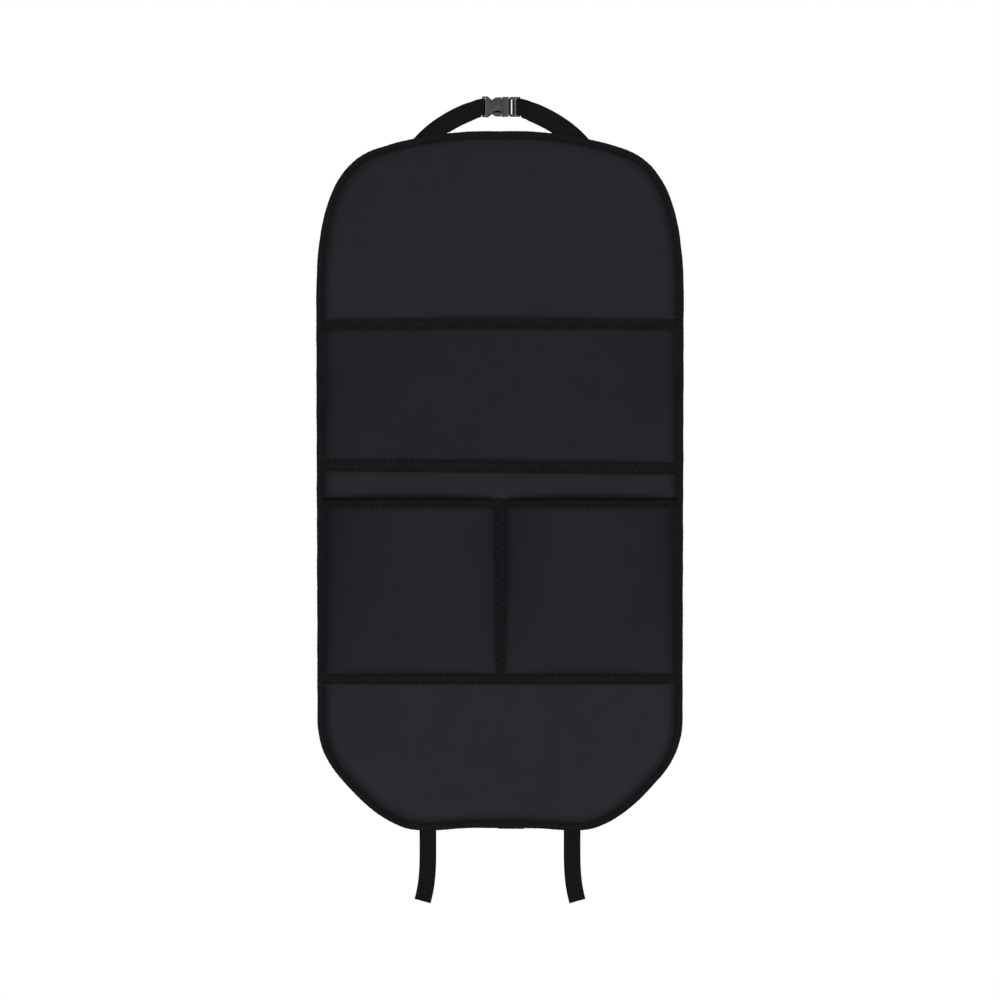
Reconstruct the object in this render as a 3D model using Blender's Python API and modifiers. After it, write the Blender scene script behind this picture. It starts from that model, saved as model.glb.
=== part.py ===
"""A seat back organiser: a padded imitation leather mat with one wide pocket above two smaller ones.

The mat is bound all round with folded tape. A webbing strap with a side-release buckle hangs it from
the headrest, and two webbing tails hold it down below. Units are metres and +Z is up. The mat hangs
upright and faces -Y. The origin is the centre of its flat back.
"""
import math

import bmesh
import bpy
import numpy as np
from mathutils import Vector
from mathutils.geometry import interpolate_bezier

NAME = "seat_back_organiser"

# Materials and clearances
GAP = 0.0003
TAPE = 0.0007
LEATHER = 0.0012
WEBBING = 0.0012
WEBBING_WIDTH = 0.0168

# Mat
PANEL_WIDTH = 0.3677
PANEL_HEIGHT = 0.6971
PANEL_THICKNESS = 0.0040
RIM_THICKNESS = 0.0016
PANEL_EDGE_ROUND = 0.0012
BINDING_WIDTH = 0.0082
TAPE_LAP = 0.0235

# Where the outline's round stretches begin and end, from the mat's sides, top and bottom
SHOULDER_INSET = 0.0590
SHOULDER_DROP = 0.0180
SIDE_DROP = 0.1649
HIP_TAPER = 0.0011
HIP_RISE = 0.1161
KNEE_INSET = 0.0272
KNEE_RISE = 0.0467
FOOT_INSET = 0.0851
FOOT_RISE = 0.0014

# Pockets, by their heights over the mat's centre
MOUTH_TAPE_WIDTH = 0.0100
SEAM_LAND = 0.0030
HEM_COVER = 0.0015
UPPER_MOUTH = 0.1595
UPPER_HEM = 0.0127
UPPER_HEM_WIDTH = 0.0122
UPPER_HEM_FALL = 0.0037
UPPER_DEPTH = 0.0070
LOWER_MOUTH = -0.0184
LOWER_HEM = -0.1995
LOWER_HEM_WIDTH = 0.0100
LOWER_DEPTH = 0.0100
DIVIDER_X = 0.0006
DIVIDER_WIDTH = 0.0080
DIVIDER_RAMP = 0.0025
MOUTH_DIP = 0.0014
MOUTH_DIP_REACH = 0.0120

# How a pocket's sheet arches: powers of the sines across it and up it, and its rows from hem to mouth
ARCH_ACROSS = 0.6
ARCH_UP = 0.8
SHEET_ROWS = (0, 0.06, 0.15, 0.3, 0.5, 0.75, 1)
WIDE_CELL_STEPS = 16
NARROW_CELL_STEPS = 12

# Headrest strap, measured from the buckle's centre
BUCKLE_X = 0.00125
BUCKLE_RISE = 0.0243
STRAP_SPREAD = 0.0820
STRAP_RISE_ANGLE = math.radians(50)
STRAP_ARCH = 0.0320
STRAP_END_RUN = 0.0037
STRAP_END_FALL = 0.0011
STRAP_END_ANGLE = math.radians(14)
STRAP_END_REACH = 0.0070
STRAP_TAIL = 0.0240
STRAP_CONVERGE = 0.0090
STRAP_SETTLE = 0.0300
ANCHOR_MARGIN = 0.0006
STRAP_STEPS = 14
WRAP_STEPS = 6

# Bottom tails
TAIL_X = 0.0722
TAIL_LENGTH = 0.0705
TAIL_SWING = 0.0053
TAIL_ANGLE = math.radians(16)
TAIL_CURL = 0.0030
TAIL_STEPS = 10

# Buckle
SOCKET_LENGTH = 0.0268
SOCKET_WALL = 0.0016
SOCKET_BACK = 0.0022
FLARE = 0.0008
BAR = 0.0020
BAR_ROUND = 0.0007
BAR_CLEARANCE = 0.0004
PLUG_OPENING = 0.0022
PLUG_OPENING_HALF = 0.0071
PLUG_MIDDLE_BAR = 0.0032
PLUG_BAR_WIDTH = 0.0026
PLUG_THICKNESS = 0.0032
PLUG_FRAME = 0.0050
CROSSBAR = 0.0015
RAIL = 0.0010
ARM_WIDTH = 0.0016
MOUTH_SIDE = 0.0019
HEAD_LENGTH = 0.0100
HEAD_STAND = 0.0019
GUIDE_WIDTH = 0.0024
GUIDE_LENGTH = 0.0162
SCOOP_DEPTH = 0.0050
SCOOP_LENGTH = 0.0154
SCOOP_TO_MOUTH = 0.0060
MOULDED_ROUND = 0.0005

# The finger scoop in each side of the socket, as shares of its length from the mouth and its depth
SCOOP_SHAPE = ((0.10, 0.63), (0.23, 0.94), (0.38, 1.0), (0.54, 0.88), (0.70, 0.63), (0.84, 0.34))

# The hooked head on each of the plug's arms, as shares of its length from its shoulder and its stand
HEAD_SHAPE = ((0, 0.75), (0.22, 1.0), (0.55, 0.90), (0.85, 0))

LEATHER_BLACK = (0.020, 0.020, 0.024)
TAPE_BLACK = (0.009, 0.009, 0.010)
WEBBING_BLACK = (0.008, 0.008, 0.009)
PLASTIC_GREY = (0.075, 0.073, 0.080)

HALF = PANEL_WIDTH / 2
TOP = PANEL_HEIGHT / 2
MIDDLE_Y = -PANEL_THICKNESS / 2
FIELD_INSET = BINDING_WIDTH + GAP
STRAP_Y = MIDDLE_Y + RIM_THICKNESS / 2 + GAP + TAPE + GAP + WEBBING / 2


def start_empty():
    """Remove what the file holds, and make one collection for the parts and one for the cutters."""
    for obj in list(bpy.data.objects):
        bpy.data.objects.remove(obj, do_unlink=True)
    made = []
    for name in (NAME, NAME + "_cutters"):
        collection = bpy.data.collections.new(name)
        bpy.context.scene.collection.children.link(collection)
        made.append(collection)
    return made


PARTS, CUTTERS = start_empty()


def material(name, colour, roughness):
    made = bpy.data.materials.new(name)
    made.use_nodes = True
    shader = made.node_tree.nodes["Principled BSDF"]
    shader.inputs["Base Color"].default_value = (*colour, 1)
    shader.inputs["Roughness"].default_value = roughness
    shader.inputs["Metallic"].default_value = 0
    return made


LOOKS = {
    "leather": material("imitation_leather", LEATHER_BLACK, 0.5),
    "tape": material("binding_tape", TAPE_BLACK, 0.9),
    "webbing": material("webbing", WEBBING_BLACK, 0.85),
    "plastic": material("buckle_plastic", PLASTIC_GREY, 0.4),
}


def add_part(name, mesh, look):
    obj = bpy.data.objects.new(name, mesh)
    obj.data.materials.append(LOOKS[look])
    PARTS.objects.link(obj)
    return obj


def sheet(name, rows, thickness, look):
    """A sheet through rows of points, given its thickness to both sides of them."""
    builder = bmesh.new()
    grid = [[builder.verts.new(point) for point in row] for row in rows]
    for row, after in zip(grid, grid[1:]):
        for a, b, c, d in zip(row, row[1:], after[1:], after):
            builder.faces.new((a, b, c, d))
    mesh = bpy.data.meshes.new(name)
    builder.to_mesh(mesh)
    builder.free()
    obj = add_part(name, mesh, look)
    wall = obj.modifiers.new("thickness", "SOLIDIFY")
    wall.thickness = thickness
    wall.offset = 0
    wall.use_even_offset = True
    mesh.shade_smooth()
    mesh.set_sharp_from_angle(angle=math.radians(50))
    return obj


def plate(name, ring, thickness, place, look=None, edge_round=0.0):
    """A flat shape in the XZ plane with rounded rims, as a mesh: a part, or a cutter if it has no look."""
    curve = bpy.data.curves.new(name, "CURVE")
    curve.dimensions = "2D"
    curve.fill_mode = "BOTH"
    curve.extrude = thickness / 2 - edge_round
    curve.bevel_depth = edge_round
    curve.bevel_resolution = 1
    curve.offset = -edge_round
    spline = curve.splines.new("POLY")
    spline.points.add(len(ring) - 1)
    for point, (x, z) in zip(spline.points, ring):
        point.co = (x, z, 0, 1)
    spline.use_cyclic_u = True
    drawn = bpy.data.objects.new(name, curve)
    drawn.rotation_euler = (math.pi / 2, 0, 0)
    drawn.location = place
    CUTTERS.objects.link(drawn)
    bpy.context.view_layer.update()
    drawn_now = drawn.evaluated_get(bpy.context.evaluated_depsgraph_get())
    mesh = bpy.data.meshes.new_from_object(drawn_now)
    turned = drawn.matrix_world.copy()
    bpy.data.objects.remove(drawn)
    builder = bmesh.new()
    builder.from_mesh(mesh)
    bmesh.ops.remove_doubles(builder, verts=builder.verts, dist=0.000001)
    bmesh.ops.recalc_face_normals(builder, faces=builder.faces)
    builder.to_mesh(mesh)
    builder.free()
    mesh.materials.clear()
    if look is None:
        obj = bpy.data.objects.new(name, mesh)
        hide_cutter(obj)
    else:
        obj = add_part(name, mesh, look)
    obj.matrix_world = turned
    return obj


def hide_cutter(obj):
    CUTTERS.objects.link(obj)
    obj.hide_render = True
    obj.display_type = "WIRE"


def block(name, low, high, place):
    """A box from one corner to the other, both measured from a place; it cuts or is joined on."""
    builder = bmesh.new()
    bmesh.ops.create_cube(builder, size=1)
    for vertex in builder.verts:
        share = vertex.co + Vector((0.5, 0.5, 0.5))
        vertex.co = [a + s * (b - a) for a, b, s in zip(low, high, share)]
    mesh = bpy.data.meshes.new(name)
    builder.to_mesh(mesh)
    builder.free()
    obj = bpy.data.objects.new(name, mesh)
    obj.location = place
    hide_cutter(obj)
    return obj


def combine(obj, other, operation):
    step = obj.modifiers.new(other.name, "BOOLEAN")
    step.operation = operation
    step.object = other


def bezier(start, start_handle, end_handle, end, steps):
    """Points along one Bezier stretch in the XZ plane, its start left out."""
    corners = [Vector((x, 0, z)) for x, z in (start, start_handle, end_handle, end)]
    return [(p.x, p.z) for p in interpolate_bezier(*corners, steps + 1)[1:]]


def ahead(point, heading, reach):
    return (point[0] + reach * math.cos(heading), point[1] + reach * math.sin(heading))


def right_half():
    """The mat's outline from its bottom centre, up the right side, to its top centre."""
    # each anchor: x, z, heading in degrees, handle before, handle after, steps that lead to it
    anchors = (
        (TAPE_LAP, -TOP, 0, 0, 0.0308, 0),
        (HALF - FOOT_INSET, -TOP + FOOT_RISE, 21.1, 0.0223, 0.0321, 6),
        (HALF - KNEE_INSET, -TOP + KNEE_RISE, 47.5, 0.0116, 0.0374, 4),
        (HALF - HIP_TAPER, -TOP + HIP_RISE, 90, 0.0203, 0.0800, 7),
        (HALF, TOP - SIDE_DROP, 90, 0.0800, 0.0665, 3),
        (HALF - SHOULDER_INSET, TOP - SHOULDER_DROP, 161.2, 0.0510, 0.0628, 13),
        (0, TOP, 180, 0.0131, 0, 7),
    )
    points = [(0, -TOP), (TAPE_LAP, -TOP)]
    for (x0, z0, turn0, _, reach0, _), (x1, z1, turn1, reach1, _, steps) in zip(anchors, anchors[1:]):
        start_handle = ahead((x0, z0), math.radians(turn0), reach0)
        end_handle = ahead((x1, z1), math.radians(turn1), -reach1)
        points += bezier((x0, z0), start_handle, end_handle, (x1, z1), steps)
    return points


RIGHT_HALF = right_half()
RING = [Vector(p) for p in RIGHT_HALF + [(-x, z) for x, z in reversed(RIGHT_HALF[1:-1])]]


def inward(index):
    """The unit direction into the mat at a point of its outline, which runs anticlockwise."""
    here = RING[index % len(RING)]
    before = (here - RING[(index - 1) % len(RING)]).normalized()
    after = (RING[(index + 1) % len(RING)] - here).normalized()
    along = (before + after).normalized()
    return Vector((-along.y, along.x))


def outline(inset):
    return [point + inward(i) * inset for i, point in enumerate(RING)]


def half_width(z):
    """Half the mat's width at a height above its feet."""
    side = [p for p in RIGHT_HALF if p[1] > -TOP + FOOT_RISE]
    return float(np.interp(z, [p[1] for p in side], [p[0] for p in side]))


def edge_height(x, upper):
    """The height of the mat's top or bottom edge at a distance from its centre line."""
    edge = sorted(p for p in RIGHT_HALF if (p[1] > 0) == upper)
    return float(np.interp(abs(x), [p[0] for p in edge], [p[1] for p in edge]))


def fold(core, width, lift=0.0):
    """A tape folded round an edge, as (depth below the fold, distance to the back) of its middle."""
    radius = core / 2 + GAP + TAPE / 2 + lift
    centre = fold_room(core)
    turns = [math.radians(a) for a in (-90, -45, 0, 45, 90)]
    arc = [(centre - radius * math.cos(a), radius * math.sin(a)) for a in turns]
    return [(width, -radius)] + arc + [(width, radius)]


def fold_room(core):
    """How far an edge lies inside the fold's outer face."""
    return core / 2 + GAP + TAPE


def build_back_panel():
    """The mat: a padded field with rounded edges on a thin rim, which the binding covers."""
    rim = outline(fold_room(RIM_THICKNESS))
    panel = plate("back_panel", rim, RIM_THICKNESS, (0, MIDDLE_Y, 0), "leather")
    field = plate("field", outline(FIELD_INSET), PANEL_THICKNESS, (0, MIDDLE_Y, 0), None, PANEL_EDGE_ROUND)
    combine(panel, field, "UNION")


def build_edge_binding():
    """One tape round the whole edge. Its end laps over its start at the bottom centre."""
    rows = []
    for i in range(len(RING) + 2):
        lift = TAPE + GAP if i >= len(RING) else 0.0
        point, into = RING[i % len(RING)], inward(i)
        row = []
        for depth, back in fold(RIM_THICKNESS, BINDING_WIDTH, lift):
            at = point + into * depth
            row.append((at.x, MIDDLE_Y + back, at.y))
        rows.append(row)
    sheet("edge_binding", rows, TAPE, "tape")


class Pocket:
    """A sheet in front of the mat: sewn flat at its sides, hem and seams, and arched between them."""

    def __init__(self, name, mouth, hem, hem_width, hem_fall, depth, seams, dip, cell_steps):
        self.name, self.mouth, self.hem, self.hem_width = name, mouth, hem, hem_width
        self.hem_fall, self.depth, self.seams, self.dip = hem_fall, depth, seams, dip
        self.cell_steps = cell_steps

    def side(self, z):
        return half_width(z) - BINDING_WIDTH - GAP

    def mouth_at(self, x):
        """The height of the mouth's folded edge, which sewing pulls down at each seam."""
        near = sum(math.exp(-(((x - seam) / MOUTH_DIP_REACH) ** 2)) for seam in self.seams)
        return self.mouth - self.dip * near

    def hem_at(self, x):
        """The height of the hem tape's middle, which falls a little to the right."""
        return self.hem - self.hem_fall * x / PANEL_WIDTH

    def stations(self, z):
        """(x, fullness) across the pocket: flat lands at the sides and seams, an arch between them."""
        side, land = self.side(z), DIVIDER_WIDTH / 2 + 2 * GAP
        edges = [-side + SEAM_LAND]
        for seam in self.seams:
            edges += [seam - land, seam + land]
        edges.append(side - SEAM_LAND)
        found = [(-side, 0.0)]
        for start, end in zip(edges[::2], edges[1::2]):
            for k in range(self.cell_steps + 1):
                t = k / self.cell_steps
                found.append((start + (end - start) * t, max(0.0, math.sin(math.pi * t)) ** ARCH_ACROSS))
        return found + [(side, 0.0)]

    def surface(self, x, fullness, z):
        """The y of the sheet's middle. Its mouth stands off by the tape folded behind it."""
        flat_top = self.hem_at(x) + self.hem_width / 2 + GAP
        share = min(1.0, max(0.0, (z - flat_top) / (self.mouth_at(x) - flat_top)))
        arch = self.depth * fullness * math.sin(math.pi / 2 * share) ** ARCH_UP
        return -(PANEL_THICKNESS + GAP + LEATHER / 2 + (TAPE + GAP) * share + arch)

    def build_panel(self):
        rows = [[]]
        for x, _ in self.stations(self.hem):
            low = self.hem_at(x) - self.hem_width / 2 + HEM_COVER
            rows[0].append((x, self.surface(x, 0, low), low))
        for level in SHEET_ROWS:
            row = []
            for x, fullness in self.stations(self.hem + level * (self.mouth - self.hem)):
                flat_top = self.hem_at(x) + self.hem_width / 2 + GAP
                high = self.mouth_at(x) - fold_room(LEATHER)
                z = flat_top + (high - flat_top) * level
                row.append((x, self.surface(x, fullness, z), z))
            rows.append(row)
        sheet(self.name + "_panel", rows, LEATHER, "leather")

    def build_mouth_binding(self):
        rows = []
        for k in range(len(self.stations(self.mouth))):
            row = []
            for depth, back in fold(LEATHER, MOUTH_TAPE_WIDTH):
                x, fullness = self.stations(self.mouth - depth)[k]
                z = self.mouth_at(x) - depth
                row.append((x, self.surface(x, fullness, z) + back, z))
            rows.append(row)
        sheet(self.name + "_top_binding", rows, TAPE, "tape")

    def build_hem_tape(self):
        front = -(PANEL_THICKNESS + GAP + LEATHER + GAP + TAPE / 2)
        rows = []
        for side in (-1, 1):
            row = []
            for edge in (-1, 1):
                z = self.hem + edge * self.hem_width / 2
                x = side * self.side(z)
                row.append((x, front, z - self.hem_fall * x / PANEL_WIDTH))
            rows.append(row)
        sheet(self.name + "_bottom_tape", rows, TAPE, "tape")


def build_divider(pocket):
    """The tape down the middle of the lower pocket, from its hem tape up over its mouth binding."""
    x = DIVIDER_X
    low = pocket.hem_at(x) + pocket.hem_width / 2 + GAP
    high = pocket.mouth_at(x)
    step = high - MOUTH_TAPE_WIDTH
    on_sheet = LEATHER / 2 + GAP + TAPE / 2
    rows = []
    for z, stand in ((low, 0), (step - 2 * DIVIDER_RAMP, 0), (step - DIVIDER_RAMP / 2, 1), (high, 1)):
        y = pocket.surface(x, 0.0, z) - on_sheet - stand * (TAPE + GAP)
        rows.append([(x - DIVIDER_WIDTH / 2, y, z), (x + DIVIDER_WIDTH / 2, y, z)])
    sheet("divider_tape", rows, TAPE, "tape")


def smooth(t):
    t = min(1.0, max(0.0, t))
    return t * t * (3 - 2 * t)


def across(points, index):
    """The unit direction across a path of (x, z) points, to its left."""
    before, after = points[max(0, index - 1)], points[min(len(points) - 1, index + 1)]
    along = Vector((after[0] - before[0], after[1] - before[1])).normalized()
    return Vector((-along.y, along.x))


BUCKLE_Z = TOP + BUCKLE_RISE
BUCKLE_Y = MIDDLE_Y
WRAP = BAR / 2 + BAR_CLEARANCE + WEBBING / 2
SLOT_HALF = WEBBING_WIDTH / 2 + GAP
BUCKLE_HALF = SLOT_HALF + RAIL
SOCKET_SLOT = BAR_CLEARANCE + WEBBING + GAP
PLUG_SLOT = BAR_CLEARANCE + WEBBING + GAP
PLUG_LENGTH = CROSSBAR + PLUG_OPENING + PLUG_MIDDLE_BAR + PLUG_SLOT + PLUG_BAR_WIDTH
BUCKLE_LENGTH = SOCKET_LENGTH + GAP + PLUG_LENGTH
MOUTH = -BUCKLE_LENGTH / 2 + SOCKET_LENGTH
BUCKLE = (BUCKLE_X, BUCKLE_Y, BUCKLE_Z)


def strap_path(side, bar_outer):
    """The strap's middle line, from under the binding to beside the buckle, as (x, z) points.

    Their x is measured outwards from the buckle's centre, to the side's left (-1) or right (1)."""
    edge = edge_height(BUCKLE_X + side * STRAP_SPREAD, True)
    start = (STRAP_SPREAD, edge - BINDING_WIDTH + ANCHOR_MARGIN)
    end = (bar_outer + STRAP_END_RUN, BUCKLE_Z - STRAP_END_FALL)
    start_handle = ahead(start, math.pi - STRAP_RISE_ANGLE, STRAP_ARCH)
    end_handle = ahead(end, -STRAP_END_ANGLE, STRAP_END_REACH)
    return [start] + bezier(start, start_handle, end_handle, end, STRAP_STEPS)


def build_strap(name, side, bar_outer, bar_inner):
    """Webbing that rises from behind the binding and passes in front of the buckle's bar, round it
    and back behind itself."""
    path = strap_path(side, bar_outer)
    from_start = [0.0]
    for (x0, z0), (x1, z1) in zip(path, path[1:]):
        from_start.append(from_start[-1] + math.hypot(x1 - x0, z1 - z0))
    to_bar = [from_start[-1] - s + STRAP_END_RUN for s in from_start]
    front, back = BUCKLE_Y - WRAP, BUCKLE_Y + WRAP
    paired = back - WEBBING - GAP

    def row(x, y, z, wide):
        centre = BUCKLE_X + side * x
        return [(centre - side * wide.x, y, z - wide.y), (centre + side * wide.x, y, z + wide.y)]

    foot = BUCKLE_X + side * STRAP_SPREAD
    fall = edge_height(abs(foot) - WEBBING_WIDTH, True) - edge_height(abs(foot) + WEBBING_WIDTH, True)
    cut = Vector((-2 * WEBBING_WIDTH, fall)).normalized()
    cut *= WEBBING_WIDTH / 2 / cut.dot(across(path, 0))
    rows = [row(path[0][0], STRAP_Y, path[0][1], cut)]
    for i, (x, z) in enumerate(path):
        if from_start[i] > cut.length:
            near = front + (paired - front) * smooth(to_bar[i] / STRAP_CONVERGE)
            y = near + (STRAP_Y - near) * smooth((to_bar[i] - STRAP_TAIL) / STRAP_SETTLE)
            rows.append(row(x, y, z, across(path, i) * WEBBING_WIDTH / 2))
    upright = Vector((0, -WEBBING_WIDTH / 2))
    rows.append(row(bar_outer, front, BUCKLE_Z, upright))
    for k in range(WRAP_STEPS + 1):
        turn = math.pi * k / WRAP_STEPS
        x = bar_inner + BAR / 2 - WRAP * math.sin(turn)
        rows.append(row(x, BUCKLE_Y - WRAP * math.cos(turn), BUCKLE_Z, upright))
    rows.append(row(bar_outer, back, BUCKLE_Z, upright))
    for i in reversed(range(len(path))):
        if to_bar[i] <= STRAP_TAIL:
            rows.append(row(path[i][0], back, path[i][1], across(path, i) * WEBBING_WIDTH / 2))
    sheet(name, rows, WEBBING, "webbing")


def build_bottom_strap(name, side):
    """A plain tail of webbing, sewn behind the binding, that swings outwards as it hangs."""
    start = (TAIL_X, edge_height(TAIL_X, False) + BINDING_WIDTH - ANCHOR_MARGIN)
    end = (TAIL_X + TAIL_SWING, edge_height(TAIL_X, False) - TAIL_LENGTH)
    start_handle = ahead(start, -math.pi / 2, TAIL_LENGTH / 2)
    end_handle = ahead(end, math.pi / 2 + TAIL_ANGLE, TAIL_LENGTH / 3)
    path = [start] + bezier(start, start_handle, end_handle, end, TAIL_STEPS)
    rows = []
    for i, (x, z) in enumerate(path):
        wide = across(path, i) * WEBBING_WIDTH / 2
        y = STRAP_Y - TAIL_CURL * (i / (len(path) - 1)) ** 2
        rows.append([(side * (x - wide.x), y, z - wide.y), (side * (x + wide.x), y, z + wide.y)])
    sheet(name, rows, WEBBING, "webbing")


def mirrored(points):
    """An outline from its upper half, listed from its right end to its left end."""
    return list(points) + [(x, -z) for x, z in reversed(points)]


def build_socket():
    """The moulded socket: a flat case open at its mouth, with a scoop in each side and a webbing bar."""
    left = -BUCKLE_LENGTH / 2
    scoop_end = MOUTH - SCOOP_TO_MOUTH
    flare = BUCKLE_HALF + FLARE
    scoop = [(scoop_end - SCOOP_LENGTH * s, BUCKLE_HALF - SCOOP_DEPTH * d) for s, d in SCOOP_SHAPE]
    upper = [(MOUTH, BUCKLE_HALF - FLARE), (MOUTH - FLARE, BUCKLE_HALF), (scoop_end, BUCKLE_HALF)]
    upper += scoop
    upper += [(scoop_end - SCOOP_LENGTH, flare), (left + 2 * FLARE, flare), (left, flare - 2 * FLARE)]
    thickness = PLUG_THICKNESS + 2 * GAP + 2 * SOCKET_WALL
    socket = plate("buckle_socket", mirrored(upper), thickness, BUCKLE, "plastic", MOULDED_ROUND)
    inner = PLUG_THICKNESS / 2 + GAP
    slot_end = left + BAR + SOCKET_SLOT
    room = BUCKLE_HALF - MOUTH_SIDE
    cavity_low = (slot_end + SOCKET_BACK, -inner, -room)
    cavity = block("socket_cavity", cavity_low, (MOUTH + BAR, inner, room), BUCKLE)
    combine(socket, cavity, "DIFFERENCE")
    slot_low = (left - BAR, -thickness, -SLOT_HALF)
    slot = block("socket_slot", slot_low, (slot_end, thickness, SLOT_HALF), BUCKLE)
    combine(socket, slot, "DIFFERENCE")
    end = SLOT_HALF + RAIL / 2
    bar_ring = mirrored([(left + BAR, end), (left, end)])
    bar = plate("socket_bar", bar_ring, BAR, BUCKLE, None, BAR_ROUND)
    combine(socket, bar, "UNION")


def build_plug():
    """The moulded plug: a frame with an opening and a webbing slot, a guide prong and two springy arms
    with hooked heads."""
    left = MOUTH + GAP
    right = BUCKLE_LENGTH / 2
    corner = 2 * FLARE
    frame_ring = mirrored([(right, BUCKLE_HALF - corner), (right - corner, BUCKLE_HALF), (left, BUCKLE_HALF)])
    plug = plate("buckle_plug", frame_ring, PLUG_FRAME, BUCKLE, "plastic", MOULDED_ROUND)
    near = left + CROSSBAR
    middle = near + PLUG_OPENING
    opening_low = (near, -PLUG_FRAME, -PLUG_OPENING_HALF)
    opening = block("plug_opening", opening_low, (middle, PLUG_FRAME, PLUG_OPENING_HALF), BUCKLE)
    combine(plug, opening, "DIFFERENCE")
    slot_low = (middle + PLUG_MIDDLE_BAR, -PLUG_FRAME, -SLOT_HALF)
    slot = block("plug_slot", slot_low, (right + BAR, PLUG_FRAME, SLOT_HALF), BUCKLE)
    combine(plug, slot, "DIFFERENCE")
    end = SLOT_HALF + RAIL / 2
    bar_ring = mirrored([(right - MOULDED_ROUND, end), (right - PLUG_BAR_WIDTH, end)])
    bar = plate("plug_bar", bar_ring, BAR, BUCKLE, None, BAR_ROUND)
    combine(plug, bar, "UNION")
    arm_out = BUCKLE_HALF - MOUTH_SIDE - GAP
    arm_in = arm_out - ARM_WIDTH
    head_in = arm_in - ARM_WIDTH
    along, deep = SCOOP_SHAPE[0]
    wall_lean = SCOOP_LENGTH * along * MOUTH_SIDE / (SCOOP_DEPTH * deep)
    shoulder = MOUTH - SCOOP_TO_MOUTH - wall_lean - GAP
    head = [(shoulder - HEAD_LENGTH * s, arm_out + HEAD_STAND * d) for s, d in HEAD_SHAPE]
    tip = shoulder - HEAD_LENGTH
    root = left + CROSSBAR / 2
    crotch = left - ARM_WIDTH
    guide = GUIDE_WIDTH / 2
    upper = [(root, arm_out), (shoulder, arm_out)] + head
    upper += [
        (tip, head_in + ARM_WIDTH / 2),
        (tip + ARM_WIDTH / 2, head_in),
        (shoulder - ARM_WIDTH, head_in),
        (shoulder, arm_in),
        (crotch - ARM_WIDTH / 2, arm_in),
        (crotch, arm_in - ARM_WIDTH / 2),
        (crotch, guide + ARM_WIDTH / 2),
        (crotch - ARM_WIDTH / 2, guide),
        (left - GUIDE_LENGTH + guide, guide),
        (left - GUIDE_LENGTH, guide / 2),
    ]
    fork = plate("plug_fork", mirrored(upper), PLUG_THICKNESS, BUCKLE, None, MOULDED_ROUND)
    combine(plug, fork, "UNION")


def build_all():
    build_back_panel()
    build_edge_binding()
    upper = Pocket(
        "upper_pocket", UPPER_MOUTH, UPPER_HEM, UPPER_HEM_WIDTH, UPPER_HEM_FALL, UPPER_DEPTH, [], 0,
        WIDE_CELL_STEPS)
    lower = Pocket(
        "lower_pocket", LOWER_MOUTH, LOWER_HEM, LOWER_HEM_WIDTH, 0, LOWER_DEPTH, [DIVIDER_X], MOUTH_DIP,
        NARROW_CELL_STEPS)
    for pocket in (upper, lower):
        pocket.build_panel()
        pocket.build_mouth_binding()
        pocket.build_hem_tape()
    build_divider(lower)
    bar_end = BUCKLE_LENGTH / 2
    build_strap("headrest_strap_left", -1, bar_end, bar_end - BAR)
    build_strap("headrest_strap_right", 1, bar_end, bar_end - PLUG_BAR_WIDTH)
    build_bottom_strap("bottom_strap_left", -1)
    build_bottom_strap("bottom_strap_right", 1)
    build_socket()
    build_plug()


build_all()
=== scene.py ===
import math

import bmesh
import bpy
import numpy as np
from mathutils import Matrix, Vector
from mathutils.geometry import delaunay_2d_cdt, interpolate_bezier


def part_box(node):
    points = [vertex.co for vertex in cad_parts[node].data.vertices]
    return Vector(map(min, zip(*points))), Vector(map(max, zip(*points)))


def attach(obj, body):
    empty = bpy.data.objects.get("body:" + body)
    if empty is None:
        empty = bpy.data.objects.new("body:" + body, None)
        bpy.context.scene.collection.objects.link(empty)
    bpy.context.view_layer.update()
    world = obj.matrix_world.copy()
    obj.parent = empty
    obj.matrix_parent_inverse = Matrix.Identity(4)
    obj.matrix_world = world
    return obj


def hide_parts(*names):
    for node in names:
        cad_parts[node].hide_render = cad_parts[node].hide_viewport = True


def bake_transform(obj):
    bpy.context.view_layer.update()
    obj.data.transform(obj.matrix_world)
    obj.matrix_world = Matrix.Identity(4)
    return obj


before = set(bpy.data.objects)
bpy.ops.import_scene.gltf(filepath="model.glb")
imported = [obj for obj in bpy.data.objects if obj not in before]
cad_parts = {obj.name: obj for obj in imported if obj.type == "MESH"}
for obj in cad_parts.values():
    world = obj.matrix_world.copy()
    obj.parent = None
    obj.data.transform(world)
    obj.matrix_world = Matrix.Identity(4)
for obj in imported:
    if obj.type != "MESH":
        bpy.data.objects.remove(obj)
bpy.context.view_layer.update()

# The picture is taken straight on with a long lens, a metre wide at the mat. Large soft lamps stand
# round the mat, in front of it and behind it, and the pale floor runs out to a white surround.
PICTURE_WIDTH = 1.0
PICTURE_CENTRE = Vector((0, -0.004, -0.02045))
CAMERA_DISTANCE = 6.0
FLOOR_HEIGHT = -1.10
FLOOR_RADIUS = 14
FLOOR_FADE = (0.45, 1.1)
SURROUND_LIGHT = 0.20


def node(tree, kind, inputs=(), **settings):
    """A shader node of a kind, with its settings and inputs: numbers, colours or other nodes' outputs."""
    made = tree.nodes.new("ShaderNode" + kind)
    for key, value in settings.items():
        setattr(made, key, value)
    for key, value in dict(inputs).items():
        if isinstance(value, bpy.types.NodeSocket):
            tree.links.new(value, made.inputs[key])
        else:
            made.inputs[key].default_value = value
    return made


def sums(tree, operation, first, second=0.0, third=0.0):
    return node(tree, "Math", {0: first, 1: second, 2: third}, operation=operation).outputs[0]


def fresh_tree(owner):
    owner.use_nodes = True
    owner.node_tree.nodes.clear()
    return owner.node_tree


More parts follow.
